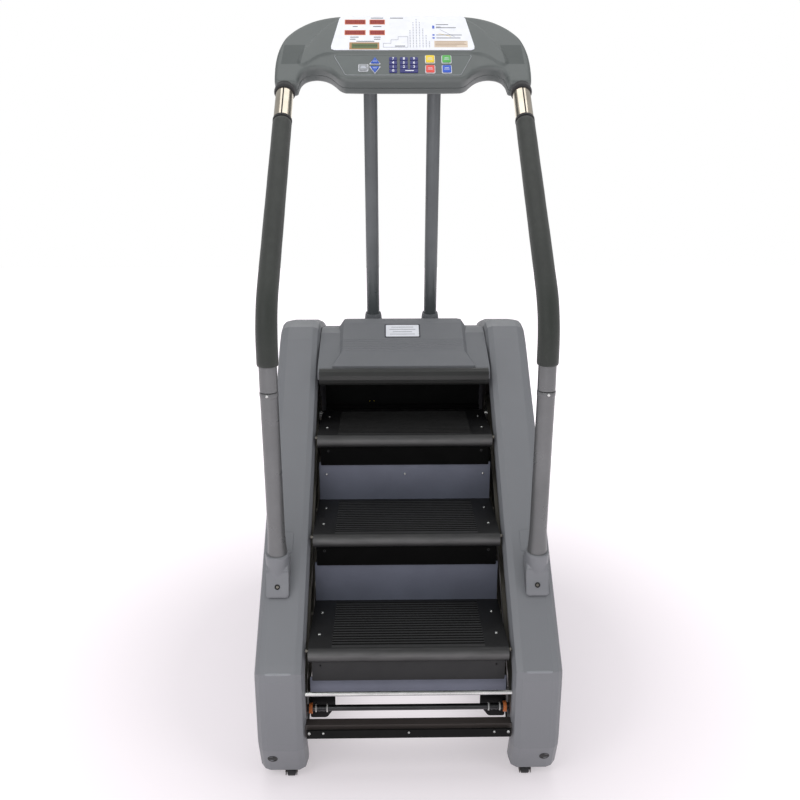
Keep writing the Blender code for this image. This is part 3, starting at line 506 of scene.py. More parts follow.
# ---------------------------------------------------------------- steps
RIBS = 18
RIB_PITCH = 0.0119
RIB_HEIGHT = 0.0024
RIBBED_HALF = 0.193
STEP_HALF = 0.252
SKIRT_HALF = 0.244
NOSE_DEEP = 0.0170
NOSE_HALF = 0.0195
SKIRT_LOW = 0.0935
SKIRT_BACK = 0.0140
SLAB_DEEP = 0.024
LIP_DEEP = 0.031
LIP_BACK = 0.2385
TREAD_BACK = 0.250
RISER_NECK = 0.2425
RISER_SHOULDER = 0.062
FIRST_RISER_EXTRA = 0.027
ROLLER_PIN = [(0.0, 0.0030), (0.0035, 0.0030), (0.0036, 0.0046), (0.0074, 0.0046), (0.0080, 0.0040),
              (0.0080, 0.0015)]


def tread_profile(nose, top, ribbed):
    arc = []
    centre_y, centre_z = nose + NOSE_DEEP, top - NOSE_HALF
    for k in range(15):
        angle = math.radians(90.0 + 180.0 / 14 * k)
        arc.append((centre_y + NOSE_DEEP * math.cos(angle), centre_z + NOSE_HALF * math.sin(angle)))
    profile = arc + [(nose + back, top - drop) for back, drop in (
        (0.0185, 2 * NOSE_HALF), (0.0185, SLAB_DEEP), (LIP_BACK, SLAB_DEEP), (LIP_BACK, LIP_DEEP),
        (TREAD_BACK, LIP_DEEP), (TREAD_BACK, 0.001), (TREAD_BACK - 0.001, 0.0))]
    if ribbed:
        low = top - RIB_HEIGHT
        for k in reversed(range(RIBS)):
            start = nose + 0.0235 + RIB_PITCH * k
            profile += [(start + 0.0115, top), (start + 0.0108, low), (start + 0.0060, low),
                        (start + 0.0052, top)]
    return profile


def build_steps():
    screws = bmesh.new()
    pins = bmesh.new()
    for step in (1, 2, 3):
        low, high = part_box("step_tread_%d" % step)
        nose, top = low.y, high.z
        bm = bmesh.new()
        add_prism(bm, tread_profile(nose, top, False), -STEP_HALF, -RIBBED_HALF)
        add_prism(bm, tread_profile(nose, top, True), -RIBBED_HALF, RIBBED_HALF)
        add_prism(bm, tread_profile(nose, top, False), RIBBED_HALF, STEP_HALF)
        bmesh.ops.remove_doubles(bm, verts=bm.verts, dist=1e-6)
        for face in bm.faces:
            middle = face.calc_center_median()
            if middle.y < nose + NOSE_DEEP - 0.0008 and abs(face.normal.x) < 0.5:
                face.material_index = 2
            elif nose + 0.0225 < middle.y < nose + LIP_BACK and abs(middle.x) < RIBBED_HALF \
                    and middle.z > top - 0.0035:
                face.material_index = 5 if middle.z > top - 0.0003 else 4
        skirt = block(-SKIRT_HALF, SKIRT_HALF, top - SKIRT_LOW, top - 0.038, 0.003)
        add_upright(bm, skirt, nose + SKIRT_BACK, nose + SKIRT_BACK + 0.0042, 3)
        for x in (-0.222, 0.222):
            add_turned(bm, [(0.0, 0.0036), (0.0006, 0.0036), (0.0006, 0.0022), (-0.0002, 0.0021)],
                       (x, nose + SKIRT_BACK, top - 0.0495), FORWARD, 16, 1)
        # Steps 2 and 3 get a near-black skirt, painted shade under their noses; step 1 keeps a lighter grey skirt.
        skirt_look = "skirt_grey" if step == 1 else "skirt_black"
        make("tread_plate_%d" % step, bm, "tread_black rubber_black tread_nose %s groove_black rib_black"
             % skirt_look, body="stair", sharp=30.0, replaces="step_tread_%d" % step)
        for x in (-0.228, 0.228):
            for back in (0.078, 0.184):
                add_screw(screws, (x, nose + back, top), (0.0, 0.0, 1.0), 0.0046, 0.0026)
        for x in (-0.229, 0.0, 0.229) if step == 3 else ():
            add_screw(screws, (x, nose + 0.0205, top - 0.124), FORWARD, 0.0034, 0.0022)
        for side in (-1, 1):
            for back, drop in ((0.021, 0.012), (0.205, 0.014)):
                add_turned(pins, ROLLER_PIN, (side * 0.2515, nose + back, top - drop), (side, 0, 0), 20)
    make("step_screws", screws, "bright_steel", body="stair")
    make("step_rollers", pins, "chain_steel", body="stair")
    for step in (1, 2, 3):
        low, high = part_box("step_riser_%d" % step)
        bm = bmesh.new()
        shoulder, brow, front = high.z - RISER_SHOULDER, high.z - 0.003, low.y
        foot = low.z - (FIRST_RISER_EXTRA if step == 1 else 0.0)
        face = [(low.x, foot), (high.x, foot), (high.x, shoulder), (RISER_NECK, shoulder),
                (RISER_NECK, brow), (-RISER_NECK, brow), (-RISER_NECK, shoulder), (low.x, shoulder)]
        add_upright(bm, grid_round(face, 0.003), front, front + 0.002)
        add_prism(bm, [(front, foot + 0.0040), (front - 0.0012, foot + 0.0046),
                       (front - 0.0012, foot + 0.0066), (front, foot + 0.0072)],
                  low.x + 0.004, high.x - 0.004)
        make("riser_sheet_%d" % step, bm, "riser_grey", body="stair", sharp=30.0,
             replaces="step_riser_%d" % step)


# ---------------------------------------------------------------- posts and handrails
RAIL_FOOT = Vector((0.0, -0.415, 0.515))
RAIL_SEAM = Vector((0.0, -0.438, 1.012))
RAIL_KINK = Vector((0.0, -0.4355, 1.197))
RAIL_TOP = Vector((0.0, 0.1571, 1.7279))
RAIL_LEAN = (RAIL_SEAM - RAIL_FOOT).normalized()
RAIL_BEND = (RAIL_KINK - RAIL_SEAM).normalized()
RAIL_RISE = (RAIL_TOP - RAIL_KINK).normalized()
RAIL_X = 0.335
POST_X = 0.0965
TUBE = 0.022
GRIP = 0.0265
FOAM_END = [0.0228, 0.0252, 0.0263]
SLEEVE_GAP = math.radians(4.4)


def rail_path(x, start=0.0008):
    """Centre line of an upper rail, from a little above its seam to its top."""
    first, last = RAIL_KINK - RAIL_BEND * 0.085, RAIL_KINK + RAIL_RISE * 0.085
    points = [RAIL_SEAM + RAIL_BEND * start]
    points += [first * (1 - t) ** 2 + RAIL_KINK * 2 * t * (1 - t) + last * t ** 2
               for t in (k / 12 for k in range(13))]
    points.append(RAIL_TOP)
    return [Vector((x, p.y, p.z)) for p in points]


def dense(path, pitch):
    out = [path[0]]
    for a, b in zip(path, path[1:]):
        count = max(1, round((b - a).length / pitch))
        out += [a.lerp(b, k / count) for k in range(1, count + 1)]
    return out


def build_grip(word, side):
    """Foam sleeve with a faintly uneven skin; gives the middle of its upper end."""
    low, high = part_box(word + "_foam_grip")
    path = dense(rail_path(side * RAIL_X, low.z + 0.0012 - RAIL_SEAM.z), 0.012)
    length = [0.0]
    for a, b in zip(path, path[1:]):
        length.append(length[-1] + (b - a).length)
    reach = length[-1] - (RAIL_TOP.z - high.z + GRIP * RAIL_RISE.y) / RAIL_RISE.z
    end = path[-1] - RAIL_RISE * (length[-1] - reach)
    points = [path[0] + Vector((0.0, 0.0, lift)) for lift in (0.0, 0.0015, 0.005)]
    radii = list(FOAM_END)
    for p, s in zip(path, length):
        if 0.008 < s < reach - 0.012:
            points.append(p)
            radii.append(FOAM_END[2] + 0.00012 * math.sin(s * 37.0 + side) + 0.00006 * math.sin(s * 91.0))
    points += [end - RAIL_RISE * back for back in (0.004, 0.0012, 0.0)]
    bm = bmesh.new()
    add_sweep(bm, points, radii + FOAM_END[::-1], 48)
    foam = make(word + "_foam_sleeve", bm, "foam_black", sharp=70.0, replaces=word + "_foam_grip")
    return end


def build_rails():
    for side, word in SIDES:
        x = side * RAIL_X
        foot, seam, top = (Vector((x, p.y, p.z)) for p in (RAIL_FOOT, RAIL_SEAM, RAIL_TOP))
        bm = bmesh.new()
        path = rail_path(x)
        add_sweep(bm, path, [TUBE] * len(path))
        make(word + "_upper_tube", bm, "rail_grey", sharp=40.0,
             replaces=word + "_upper_rail")
        bm = bmesh.new()
        whole = (seam - foot).length
        add_rings(bm, foot, RAIL_LEAN, [
            (0.0, 0.0262), (0.045, 0.0258), (0.066, 0.0248), (0.090, 0.0232), (0.112, 0.0223),
            (0.130, TUBE), (whole - 0.0130, TUBE), (whole - 0.0122, 0.0227), (whole - 0.0014, 0.0229),
            (whole - 0.0004, 0.0225), (whole, 0.0215)])
        make(word + "_lower_tube", bm, "rail_grey", sharp=40.0,
             replaces=word + "_lower_rail")
        bm = bmesh.new()
        add_screw(bm, seam - RAIL_LEAN * 0.0062 + Vector((side * 0.002, -0.0226, 0.0)),
                  (0.0, -1.0, 0.05), 0.0036, 0.0020)
        make(word + "_seam_screw", bm, "bright_steel")
        bottom = build_grip(word, side) + RAIL_RISE * 0.001
        bm = bmesh.new()
        for turn in (0, 1):
            add_half_sleeve(bm, bottom + RAIL_RISE * 0.008, top - RAIL_RISE * 0.004, 0.0252, turn)
        make(word + "_sensor_plates", bm, "sensor_chrome", sharp=40.0, replaces=word + "_pulse_sensor")
        bm = bmesh.new()
        add_sweep(bm, [bottom, top - RAIL_RISE * 0.001], [0.0238] * 2)
        add_rings(bm, bottom, RAIL_RISE,
                  [(0.0, 0.0240), (0.001, 0.0268), (0.008, 0.0268), (0.0095, 0.0240)])
        add_rings(bm, top - RAIL_RISE * 0.017, RAIL_RISE,
                  [(0.0, 0.0252), (0.0015, 0.0285), (0.006, 0.0300), (0.0115, 0.0300), (0.014, 0.0285),
                   (0.020, 0.0285), (0.026, 0.0270)])
        make(word + "_sensor_rings", bm, "rubber_black", sharp=40.0)
        bm = bmesh.new()
        low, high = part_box(word + "_post")
        foot = Vector((side * POST_X, high.y - 0.0215, low.z))
        head = Vector((side * POST_X, low.y + 0.0175, high.z - 0.004))
        add_sweep(bm, [foot, foot.lerp(head, 0.5), head], [0.0215, 0.0210, 0.0209])
        make(word + "_post_tube", bm, "tube_grey", sharp=40.0, replaces=word + "_post")


def add_rings(bm, start, along, stops):
    """Round shape along a straight line: stops are (distance, radius)."""
    add_sweep(bm, [start + along * reach for reach, _ in stops], [radius for _, radius in stops])


def add_half_sleeve(bm, bottom, top, radius, turn):
    """One half of a split metal sleeve, open along the front and the back of the tube."""
    length = (top - bottom).length
    along = (top - bottom).normalized()
    other = along.cross(RIGHT).normalized()
    sides = 24
    angles = [SLEEVE_GAP + (math.pi - 2 * SLEEVE_GAP) * k / sides + math.pi * (turn - 0.5)
              for k in range(sides + 1)]

    def arc(reach, size, order):
        return [bottom + along * reach + size * (RIGHT * math.cos(a) + other * math.sin(a)) for a in order]

    stitch(bm, [arc(reach, radius + lift, angles) + arc(reach, radius - 0.0014, angles[::-1])
                for reach, lift in ((0.0, -0.0012), (0.0008, 0.0), (length - 0.0008, 0.0),
                                    (length, -0.0012))])


# ---------------------------------------------------------------- base trim and drive
GUARD_REACH = (-0.4745, -0.4715)


def build_base_trim():
    low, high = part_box("lower_strip")
    bm = bmesh.new()
    middle = (low.z + high.z) / 2 + 0.005
    for x, radius, height in ((-0.2157, 0.0034, 0.0036), (0.0, 0.0034, 0.0036), (0.2157, 0.0034, 0.0036),
                              (-0.2511, 0.0042, 0.0042), (0.2511, 0.0042, 0.0042)):
        add_screw(bm, (x, low.y, middle), FORWARD, radius, height)
    make("strip_screws", bm, "bright_steel")
    bm = bmesh.new()
    for x in (-0.108, -0.0946):
        add_turned(bm, [(0.0, 0.0016), (0.0008, 0.0014), (0.0011, 0.0008)],
                   (x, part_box("inner_shield")[0].y, 0.764), FORWARD, 12)
    make("sensor_lamps", bm, "key_yellow")
    low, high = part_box("lower_shaft")
    centre = (low + high) / 2

    def add_ring(bm, profile, x, sides):
        """Turned ring round the lower shaft, starting at x."""
        add_turned(bm, profile, (x, centre.y, centre.z), RIGHT, sides)

    bm, washers, wheels, caps, guards = (bmesh.new() for _ in range(5))
    add_ring(bm, [(low.x, 0.0100), (-0.2500, 0.0100), (-0.2495, 0.0078), (0.2495, 0.0078),
                  (0.2500, 0.0100), (high.x, 0.0100)], 0.0, 32)
    for side in (-1, 1):
        for x in (0.2205, 0.2325):
            add_ring(bm, [(0.0, 0.0078), (0.0005, 0.0092), (0.0035, 0.0092), (0.0040, 0.0078)],
                     side * x - 0.002, 24)
        for x in (0.2123, 0.2415):
            add_ring(washers, [(0.0, 0.0080), (0.0002, 0.0104), (0.0016, 0.0106), (0.0030, 0.0104),
                               (0.0032, 0.0080)], side * x - 0.0016, 32)
        add_sprocket(wheels, side * 0.268, centre, 0.0490, 0.0430, 14, 0.0030)
        add_ring(wheels, [(0.0, 0.0100), (0.0005, 0.0190), (0.0050, 0.0190), (0.0055, 0.0100)],
                 side * 0.2700 - 0.00275, 28)
        add_ring(caps, [(0.0, 0.0104), (0.0003, 0.0136), (0.0082, 0.0142), (0.0090, 0.0132),
                        (0.0091, 0.0104)], side * 0.2550 - 0.0045, 32)
        points = [(0.2585, 0.118), (0.2585, 0.235), (0.205, 0.235), (0.192, 0.215), (0.192, 0.150),
                  (0.215, 0.118)]
        add_upright(guards, grid_round([(side * x, z) for x, z in points], 0.006), *GUARD_REACH)
    make("lower_axle", bm, "axle_steel", "lower_drive", replaces="lower_shaft")
    make("nylon_washers", washers, "white_nylon", "lower_drive")
    make("lower_sprockets", wheels, "frame_black", body="lower_drive")
    make("bearing_caps", caps, "bearing_orange")
    make("shaft_guards", guards, "frame_black")
    for side, word in SIDES:
        low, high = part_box(word + "_wheel")
        centre = (low + high) / 2
        radius = (high.z - low.z) / 2
        half = (high.x - low.x) / 2
        bm = bmesh.new()
        rim = [(half, 0.0050 / radius), (half, 0.62), (half - 0.0012, 0.66), (half - 0.0008, 0.86),
               (half - 0.0022, 0.97), (half - 0.0042, 1.0)]
        profile = [(-reach, radius * part) for reach, part in rim]
        profile += [(reach, radius * part) for reach, part in rim[::-1]]
        add_turned(bm, profile, centre, RIGHT, 40)
        make(word + "_roller", bm, "rubber_black", body="wheel_" + word, replaces=word + "_wheel")


def add_slab(bm, centre, right, up, outline, low, high, slot=0):
    """Thin plate on any plane: outline is (along right, along up), low and high are along the normal."""
    out = right.cross(up)
    stitch(bm, [[centre + right * a + up * b + out * h for a, b in outline] for h in (low, high)], slot)


KNEE_HEIGHT = 0.333
COVER_BOLT = (0.348, 0.0775)
BRACKET_PROFILE = [(-0.455, 0.4582), (-0.455, 0.476), (-0.4465, 0.500), (-0.4415, 0.524),
                   (-0.4380, 0.545), (-0.392, 0.559), (-0.364, 0.5372)]
BRACKET_OUT = Vector((0.0, -0.943, 0.334))
STAIR_SLOPE = Vector((0.0, 0.7497, 0.6617))


def skin_of(name):
    """Search tree of a CAD node's surface."""
    mesh = frame["nodes"][name].data
    return BVHTree.FromPolygons([v.co for v in mesh.vertices], [p.vertices for p in mesh.polygons])


def build_brackets():
    for side, word in SIDES:
        low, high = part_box(word + "_rail_bracket")
        bm = bmesh.new()
        add_prism(bm, chaikin(BRACKET_PROFILE, 2), low.x, high.x)
        rims = [e for e in bm.edges if abs(e.verts[0].co.x - e.verts[1].co.x) < 1e-6]
        bmesh.ops.bevel(bm, geom=rims, offset=0.0065, segments=4, profile=0.5, affect="EDGES")
        bmesh.ops.remove_doubles(bm, verts=bm.verts, dist=1e-5)
        bmesh.ops.dissolve_degenerate(bm, dist=1e-5, edges=bm.edges)
        collar = [(-0.014, 0.0225), (0.000, 0.0262), (0.012, 0.0284), (0.026, 0.0300), (0.040, 0.0308),
                  (0.051, 0.0309), (0.0565, 0.0305), (0.0588, 0.0294), (0.0592, 0.0264)]
        add_rings(bm, RAIL_FOOT + RIGHT * side * RAIL_X, RAIL_LEAN, collar)
        make(word + "_bracket_moulding", bm, "cover_grey", sharp=60.0, replaces=word + "_rail_bracket")
        bm = bmesh.new()
        screw = Vector((side * RAIL_X, -0.4492, 0.4925)) + BRACKET_OUT * 0.0010
        # Dark disc round the screw: painted shade of the screw's recess.
        add_turned(bm, [(-0.0020, 0.0070), (0.0003, 0.0070), (0.0005, 0.0064), (-0.0004, 0.0058)],
                   screw, BRACKET_OUT, 28, 0)
        add_turned(bm, [(-0.0006, 0.0040), (0.0004, 0.0040), (0.0008, 0.0034), (0.0009, 0.0012)],
                   screw, BRACKET_OUT, 6, 1)
        make(word + "_bracket_screw", bm, "bolt_plug chain_steel")
        bm = bmesh.new()
        add_slab(bm, Vector((side * 0.3215, -0.3335, 0.5612)), RIGHT, STAIR_SLOPE,
                 block(-0.0175, 0.0175, -0.030, 0.030, 0.006), -0.002, 0.0022)
        make(word + "_bracket_pad", bm, "cover_grey")
    bm, highlight_beads = bmesh.new(), bmesh.new()
    for side, word in SIDES:
        skin = skin_of(word + "_side_cover")
        bolt_x, bolt_z = side * COVER_BOLT[0], COVER_BOLT[1]
        around = [skin.ray_cast(Vector((bolt_x + a, -1.0, bolt_z + b)), -FORWARD)[0]
                  for a, b in ((-0.0128, 0.0), (0.0128, 0.0), (0.0, -0.0120), (0.0, 0.0120))]
        across = (around[1] - around[0]).normalized()
        upward = (around[3] - around[2]).normalized()
        centre = sum(around, Vector()) / 4
        out = across.cross(upward).normalized()
        add_turned(bm, [(-0.0030, 0.0128), (0.0008, 0.0128), (0.0012, 0.0120), (0.0010, 0.0104),
                        (0.0002, 0.0096), (0.0002, 0.0060), (0.0007, 0.0054)], centre, out, 36)
        # Lighter bead along each cover's knee: a painted highlight where the front face bends down.
        crease = [skin.ray_cast(Vector((side * x / 1000.0, -1.0, KNEE_HEIGHT)), -FORWARD)[0]
                  for x in range(286, 363, 4)]
        last = len(crease) - 1
        add_bead(highlight_beads, [point + Vector((0.0, 0.0034, -0.0017)) for point in crease],
                 [0.0034 + 0.0008 * min(1.0, k / 4, (last - k) / 4) for k in range(last + 1)])
    make("painted_crease_highlights", highlight_beads, "crease_grey", sharp=60.0)
    make("cover_bolt_plugs", bm, "bolt_plug")


def build_service_details():
    """Fasteners, vents and seals of the sides and the back, which the photograph doesn't show."""
    low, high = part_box("rear_cover")
    bm = bmesh.new()
    for side in (-1, 1):
        for z in (low.z + 0.030, lerp(low.z, high.z, 0.5), high.z - 0.030):
            add_screw(bm, (side * 0.232, high.y, z), -FORWARD, 0.0052, 0.0026)
    for u, w in ((-0.325, 0.105), (0.325, 0.105), (-0.290, 0.215), (0.290, 0.215), (0.0, 0.262),
                 (0.0, 0.085)):
        add_screw(bm, on_face(u, w, -BACK_DEPTH), -FACE_OUT, 0.0042, 0.0020)
    make("service_screws", bm, "bright_steel")
    slits, louvres = bmesh.new(), bmesh.new()
    for x0, x1 in ((-0.150, -0.010), (0.010, 0.150)):
        for row in range(8):
            z = high.z - 0.190 + 0.0145 * row
            behind, skin = high.y - 0.0006, high.y + 0.0002
            add_prism(louvres, [(behind, z + 0.0030), (high.y + 0.0022, z + 0.0028),
                                (high.y + 0.0026, z + 0.0040), (behind, z + 0.0100)], x0, x1)
            # dark slab in the gap under each louvre: painted shade of the vent opening
            add_prism(slits, [(behind, z - 0.0004), (skin, z - 0.0004), (skin, z + 0.0029),
                              (behind, z + 0.0029)], x0 + 0.001, x1 - 0.001)
    make("rear_louvres", louvres, "cover_grey")
    make("rear_vent_painted_shade", slits, "bolt_plug")
    bm = bmesh.new()
    for x0, x1 in ((-0.2612, -0.2555), (0.2555, 0.2612)):
        add_prism(bm, block(low.y - 0.0060, low.y - 0.0010, low.z + 0.001, high.z - 0.001), x0, x1)
    make("rear_seals", bm, "rubber_black")
    plugs, screws = bmesh.new(), bmesh.new()
    for side, word in SIDES:
        skin = skin_of(word + "_side_cover")
        for y, z in ((-0.520, 0.115), (0.520, 0.115), (0.505, 0.800), (0.085, 0.850), (-0.330, 0.480)):
            spot, out, _, _ = skin.ray_cast(Vector((side, y, z)), RIGHT * -side)
            add_turned(plugs, [(-0.0020, 0.0095), (0.0003, 0.0095), (0.0005, 0.0088),
                               (-0.0002, 0.0074), (-0.0003, 0.0040)], spot, out, 28)
            add_turned(screws, [(-0.0010, 0.0050), (0.0001, 0.0050), (0.0004, 0.0042),
                                (0.0004, 0.0020)], spot, out, 20)
    make("side_screw_cups", plugs, "bolt_plug")
    make("side_screws", screws, "bright_steel")


def add_sprocket(bm, x, centre, tip, root, teeth, half):
    outline = []
    for k in range(teeth):
        for part, radius in ((-0.30, root), (-0.12, tip), (0.12, tip), (0.30, root)):
            angle = 2 * math.pi * (k + part) / teeth
            outline.append((centre.y + radius * math.cos(angle), centre.z + radius * math.sin(angle)))
    add_prism(bm, outline, x - half, x + half)


HOOD_PLATE = Vector((-0.0015, 0.2285, 1.01745))
HOOD_SLOPE = Vector((0.0, 0.917, 0.398))


def build_hood_label():
    """Framed plate on the hood, with plain bars where the photo has printed text."""
    bm = bmesh.new()

    def add_layer(half_x, y0, y1, low, high, slot, radius=0.0):
        add_slab(bm, HOOD_PLATE, RIGHT, HOOD_SLOPE, block(-half_x, half_x, y0, y1, radius), low, high, slot)

    add_layer(0.0560, -0.0350, 0.0350, -0.0004, 0.0006, 0, 0.003)
    add_layer(0.0520, -0.0310, 0.0310, -0.0004, 0.0008, 1, 0.003)
    for row, width in enumerate((0.070, 0.082, 0.060, 0.078)):
        y = 0.019 - row * 0.0125
        add_layer(width / 2, y - 0.0011, y + 0.0011, 0.0004, 0.0010, 2)
    make("hood_plate", bm, "ink_dark panel_white ink_grey")


# ---------------------------------------------------------------- console
PRESS = Vector(next(j["axis"] for j in frame["joints"] if j["name"] == "key_green_press"))
FACE_OUT = -PRESS.normalized()
FACE_UP = Vector((0.0, FACE_OUT.z, -FACE_OUT.y))
FACE_ORIGIN = Vector((0.0, 0.1146, 1.7200))
FRONT_DEPTH = 0.0335
BACK_DEPTH = 0.0618
KEYPAD_MIDDLE = 0.102
CONSOLE_HALF = [(0.158, 0.047), (0.172, 0.0505), (0.183, 0.058), (0.197, 0.074), (0.212, 0.0865),
                (0.230, 0.094), (0.250, 0.0965), (0.270, 0.0925), (0.284, 0.084), (0.293, 0.070),
                (0.2975, 0.052), (0.300, 0.038), (0.362, 0.038), (0.365, 0.065),
                (0.3645, 0.120), (0.358, 0.165), (0.344, 0.207), (0.325, 0.2315), (0.300, 0.2545),
                (0.264, 0.277), (0.227, 0.2895), (0.193, 0.296), (0.160, 0.2975)]
PLATEAU_HALF = [(0.204, 0.149), (0.218, 0.148), (0.240, 0.141), (0.258, 0.127), (0.272, 0.114),
                (0.284, 0.107), (0.293, 0.109), (0.297, 0.119), (0.291, 0.139), (0.277, 0.165),
                (0.259, 0.196), (0.240, 0.226), (0.214, 0.254), (0.192, 0.271), (0.176, 0.279)]
RECESS_HALF = [(0.1575, 0.0655), (0.1635, 0.0675), (0.1945, 0.1325), (0.1925, 0.1385)]
PATCH_HALF = [(0.281, 0.181), (0.341, 0.181), (0.347, 0.109), (0.291, 0.109)]


def both_sides(half):
    return half + [(-u, w) for u, w in reversed(half)]


def on_face(u, w, out):
    return FACE_ORIGIN + RIGHT * u + FACE_UP * w + FACE_OUT * out


def between(a, b, t):
    """Pair on the line from pair a to pair b."""
    return (lerp(a[0], b[0], t), lerp(a[1], b[1], t))


def chaikin(points, rounds):
    """Closed outline with its corners cut, more finely each round."""
    for _ in range(rounds):
        points = [between(a, b, t) for a, b in zip(points, points[1:] + points[:1]) for t in (0.25, 0.75)]
    return points


def spaced(points, pitch):
    """Closed outline with points no further apart than pitch."""
    out = []
    for a, b in zip(points, points[1:] + points[:1]):
        count = max(1, math.ceil(math.hypot(b[0] - a[0], b[1] - a[1]) / pitch))
        out += [between(a, b, j / count) for j in range(count)]
    return out


class Loop:
    """Closed outline with a fast signed distance: positive inside."""

    def __init__(self, points):
        self.points = points
        self.a = np.array(points)
        self.b = np.roll(self.a, -1, axis=0)

    def depth(self, places):
        places = np.asarray(places, float).reshape(-1, 2)
        near = np.full(len(places), 9.0)
        inside = np.zeros(len(places), bool)
        for a, b in zip(self.a, self.b):
            edge = b - a
            t = np.clip(((places - a) @ edge) / (edge @ edge), 0.0, 1.0)
            near = np.minimum(near, np.linalg.norm(places - a - t[:, None] * edge, axis=1))
            if a[1] != b[1]:
                crosses = (a[1] > places[:, 1]) != (b[1] > places[:, 1])
                at_x = a[0] + (places[:, 1] - a[1]) * edge[0] / edge[1]
                inside ^= crosses & (places[:, 0] < at_x)
        return np.where(inside, near, -near)


def smooth_step(value):
    value = np.clip(value, 0.0, 1.0)
    return value * value * (3.0 - 2.0 * value)


def rounded_drop(depth, radius):
    """How far a rounded edge has dropped at a distance from the outline."""
    reach = np.clip(radius - depth, 0.0, radius)
    return radius - np.sqrt(np.maximum(radius * radius - reach * reach, 0.0))


RIM_DEPTHS = (0.0006, 0.0016, 0.0032, 0.0056, 0.0088)
EDGE_PITCH = 0.006
FILL_PITCH = 0.0045
FILL_GAP = 0.0018
WALL_INSET = 0.0012


def fill_points(border, lines):
    """Extra points for a shell: rows that follow the border, then a grid kept clear of the lines."""
    extra = []
    for depth in RIM_DEPTHS:
        for a, b in zip(border.a, border.b):
            edge = (b - a) / np.linalg.norm(b - a)
            extra.append((a + b) / 2 + np.array((-edge[1], edge[0])) * depth)
    rim = len(extra)
    low, high = border.a.min(0), border.a.max(0)
    extra += [np.array((u, w)) for u in np.arange(low[0], high[0], FILL_PITCH)
              for w in np.arange(low[1], high[1], FILL_PITCH)]
    extra = np.array(extra)
    depth = border.depth(extra)
    keep = depth > 0.010
    keep[:rim] = depth[:rim] > 0.93 * np.repeat(RIM_DEPTHS, len(border.a))
    if lines:
        taken = np.array(lines)
        for start in range(0, len(extra), 2000):
            part = slice(start, start + 2000)
            gap = np.sqrt(((extra[part][:, None, :] - taken[None, :, :]) ** 2).sum(2)).min(1)
            keep[part] &= gap > FILL_GAP
    return [tuple(p) for p in extra[keep]]


def shell_mesh(outline, loops, height, wall_depth, groove, patches=()):
    """Plate over an outline with a shaped top, and walls down to wall_depth."""
    bm = bmesh.new()
    border = Loop(spaced(outline, EDGE_PITCH))
    places, edges = [], []
    for points in [border.points] + [spaced(points, EDGE_PITCH) for points in loops]:
        start = len(places)
        places.extend(points)
        edges.extend((start + k, start + (k + 1) % len(points)) for k in range(len(points)))
    face = [list(range(len(border.points)))]
    places += fill_points(border, places[len(border.points):])
    result = delaunay_2d_cdt([Vector(p) for p in places], edges, face, 1, 1e-6)
    flat = [(p.x, p.y) for p in result[0]]
    tops = height(np.array(flat), border)
    verts = [bm.verts.new(on_face(u, w, h)) for (u, w), h in zip(flat, tops)]
    centres = np.array([np.mean([flat[i] for i in tri], axis=0) for tri in result[2]])
    marks = np.zeros(len(centres), int)
    for patch in patches:
        marks[Loop(patch).depth(centres) > 0.0] = 1
    for tri, mark in zip(result[2], marks):
        bm.faces.new([verts[i] for i in tri]).material_index = int(mark)
    rim_edges = [e for e in bm.edges if len(e.link_faces) == 1]
    top_rim = list({v for e in rim_edges for v in e.verts})
    spot = {v: k for k, v in enumerate(top_rim)}
    base = [v.co.copy() for v in top_rim]
    drop = [(p - FACE_ORIGIN).dot(FACE_OUT) for p in base]
    middle = on_face(0.0, 0.16, 0.0)
    way = 1.0 if wall_depth > drop[0] else -1.0
    stops = [(wall_depth - way * groove, 0.0), (wall_depth - way * groove, WALL_INSET)]
    if groove > 0.0:
        stops.append((wall_depth, WALL_INSET))
    levels = []
    for reach, inset in stops:
        ring = []
        for p, d in zip(base, drop):
            inward = middle - p
            inward -= FACE_OUT * inward.dot(FACE_OUT)
            ring.append(bm.verts.new(p + FACE_OUT * (reach - d) + inward.normalized() * inset))
        levels.append(ring)
    for e in rim_edges:
        a, b = spot[e.verts[0]], spot[e.verts[1]]
        bm.faces.new((e.verts[0], e.verts[1], levels[0][b], levels[0][a]))
        for upper, lower in zip(levels, levels[1:]):
            bm.faces.new((upper[a], upper[b], lower[b], lower[a]))
    bmesh.ops.holes_fill(bm, edges=[e for e in bm.edges if len(e.link_faces) == 1], sides=0)
    return bm


def front_height(places, border):
    plateau = Loop(chaikin(both_sides(PLATEAU_HALF), 2)).depth(places)
    recess = Loop(both_sides(RECESS_HALF)).depth(places)
    depth = border.depth(places)
    height = -0.0042 * (1.0 - smooth_step((plateau + 0.0045) / 0.0050))
    below = smooth_step((0.150 - places[:, 1]) / 0.004) * smooth_step((0.215 - abs(places[:, 0])) / 0.03)
    height = height * (1.0 - below) - 0.0014 * below
    height -= rounded_drop(depth, 0.012)
    return np.where(recess > -0.0008, np.minimum(height, -0.0008 - 0.0040 * smooth_step(
        (recess + 0.0008) / 0.0022)), height)


def back_height(places, border):
    return -BACK_DEPTH + rounded_drop(border.depth(places), 0.010)


def resized(points, across, upward):
    """Outline made wider and taller about the middle of the keypad."""
    return [(u * across, lerp(KEYPAD_MIDDLE, w, upward)) for u, w in points]


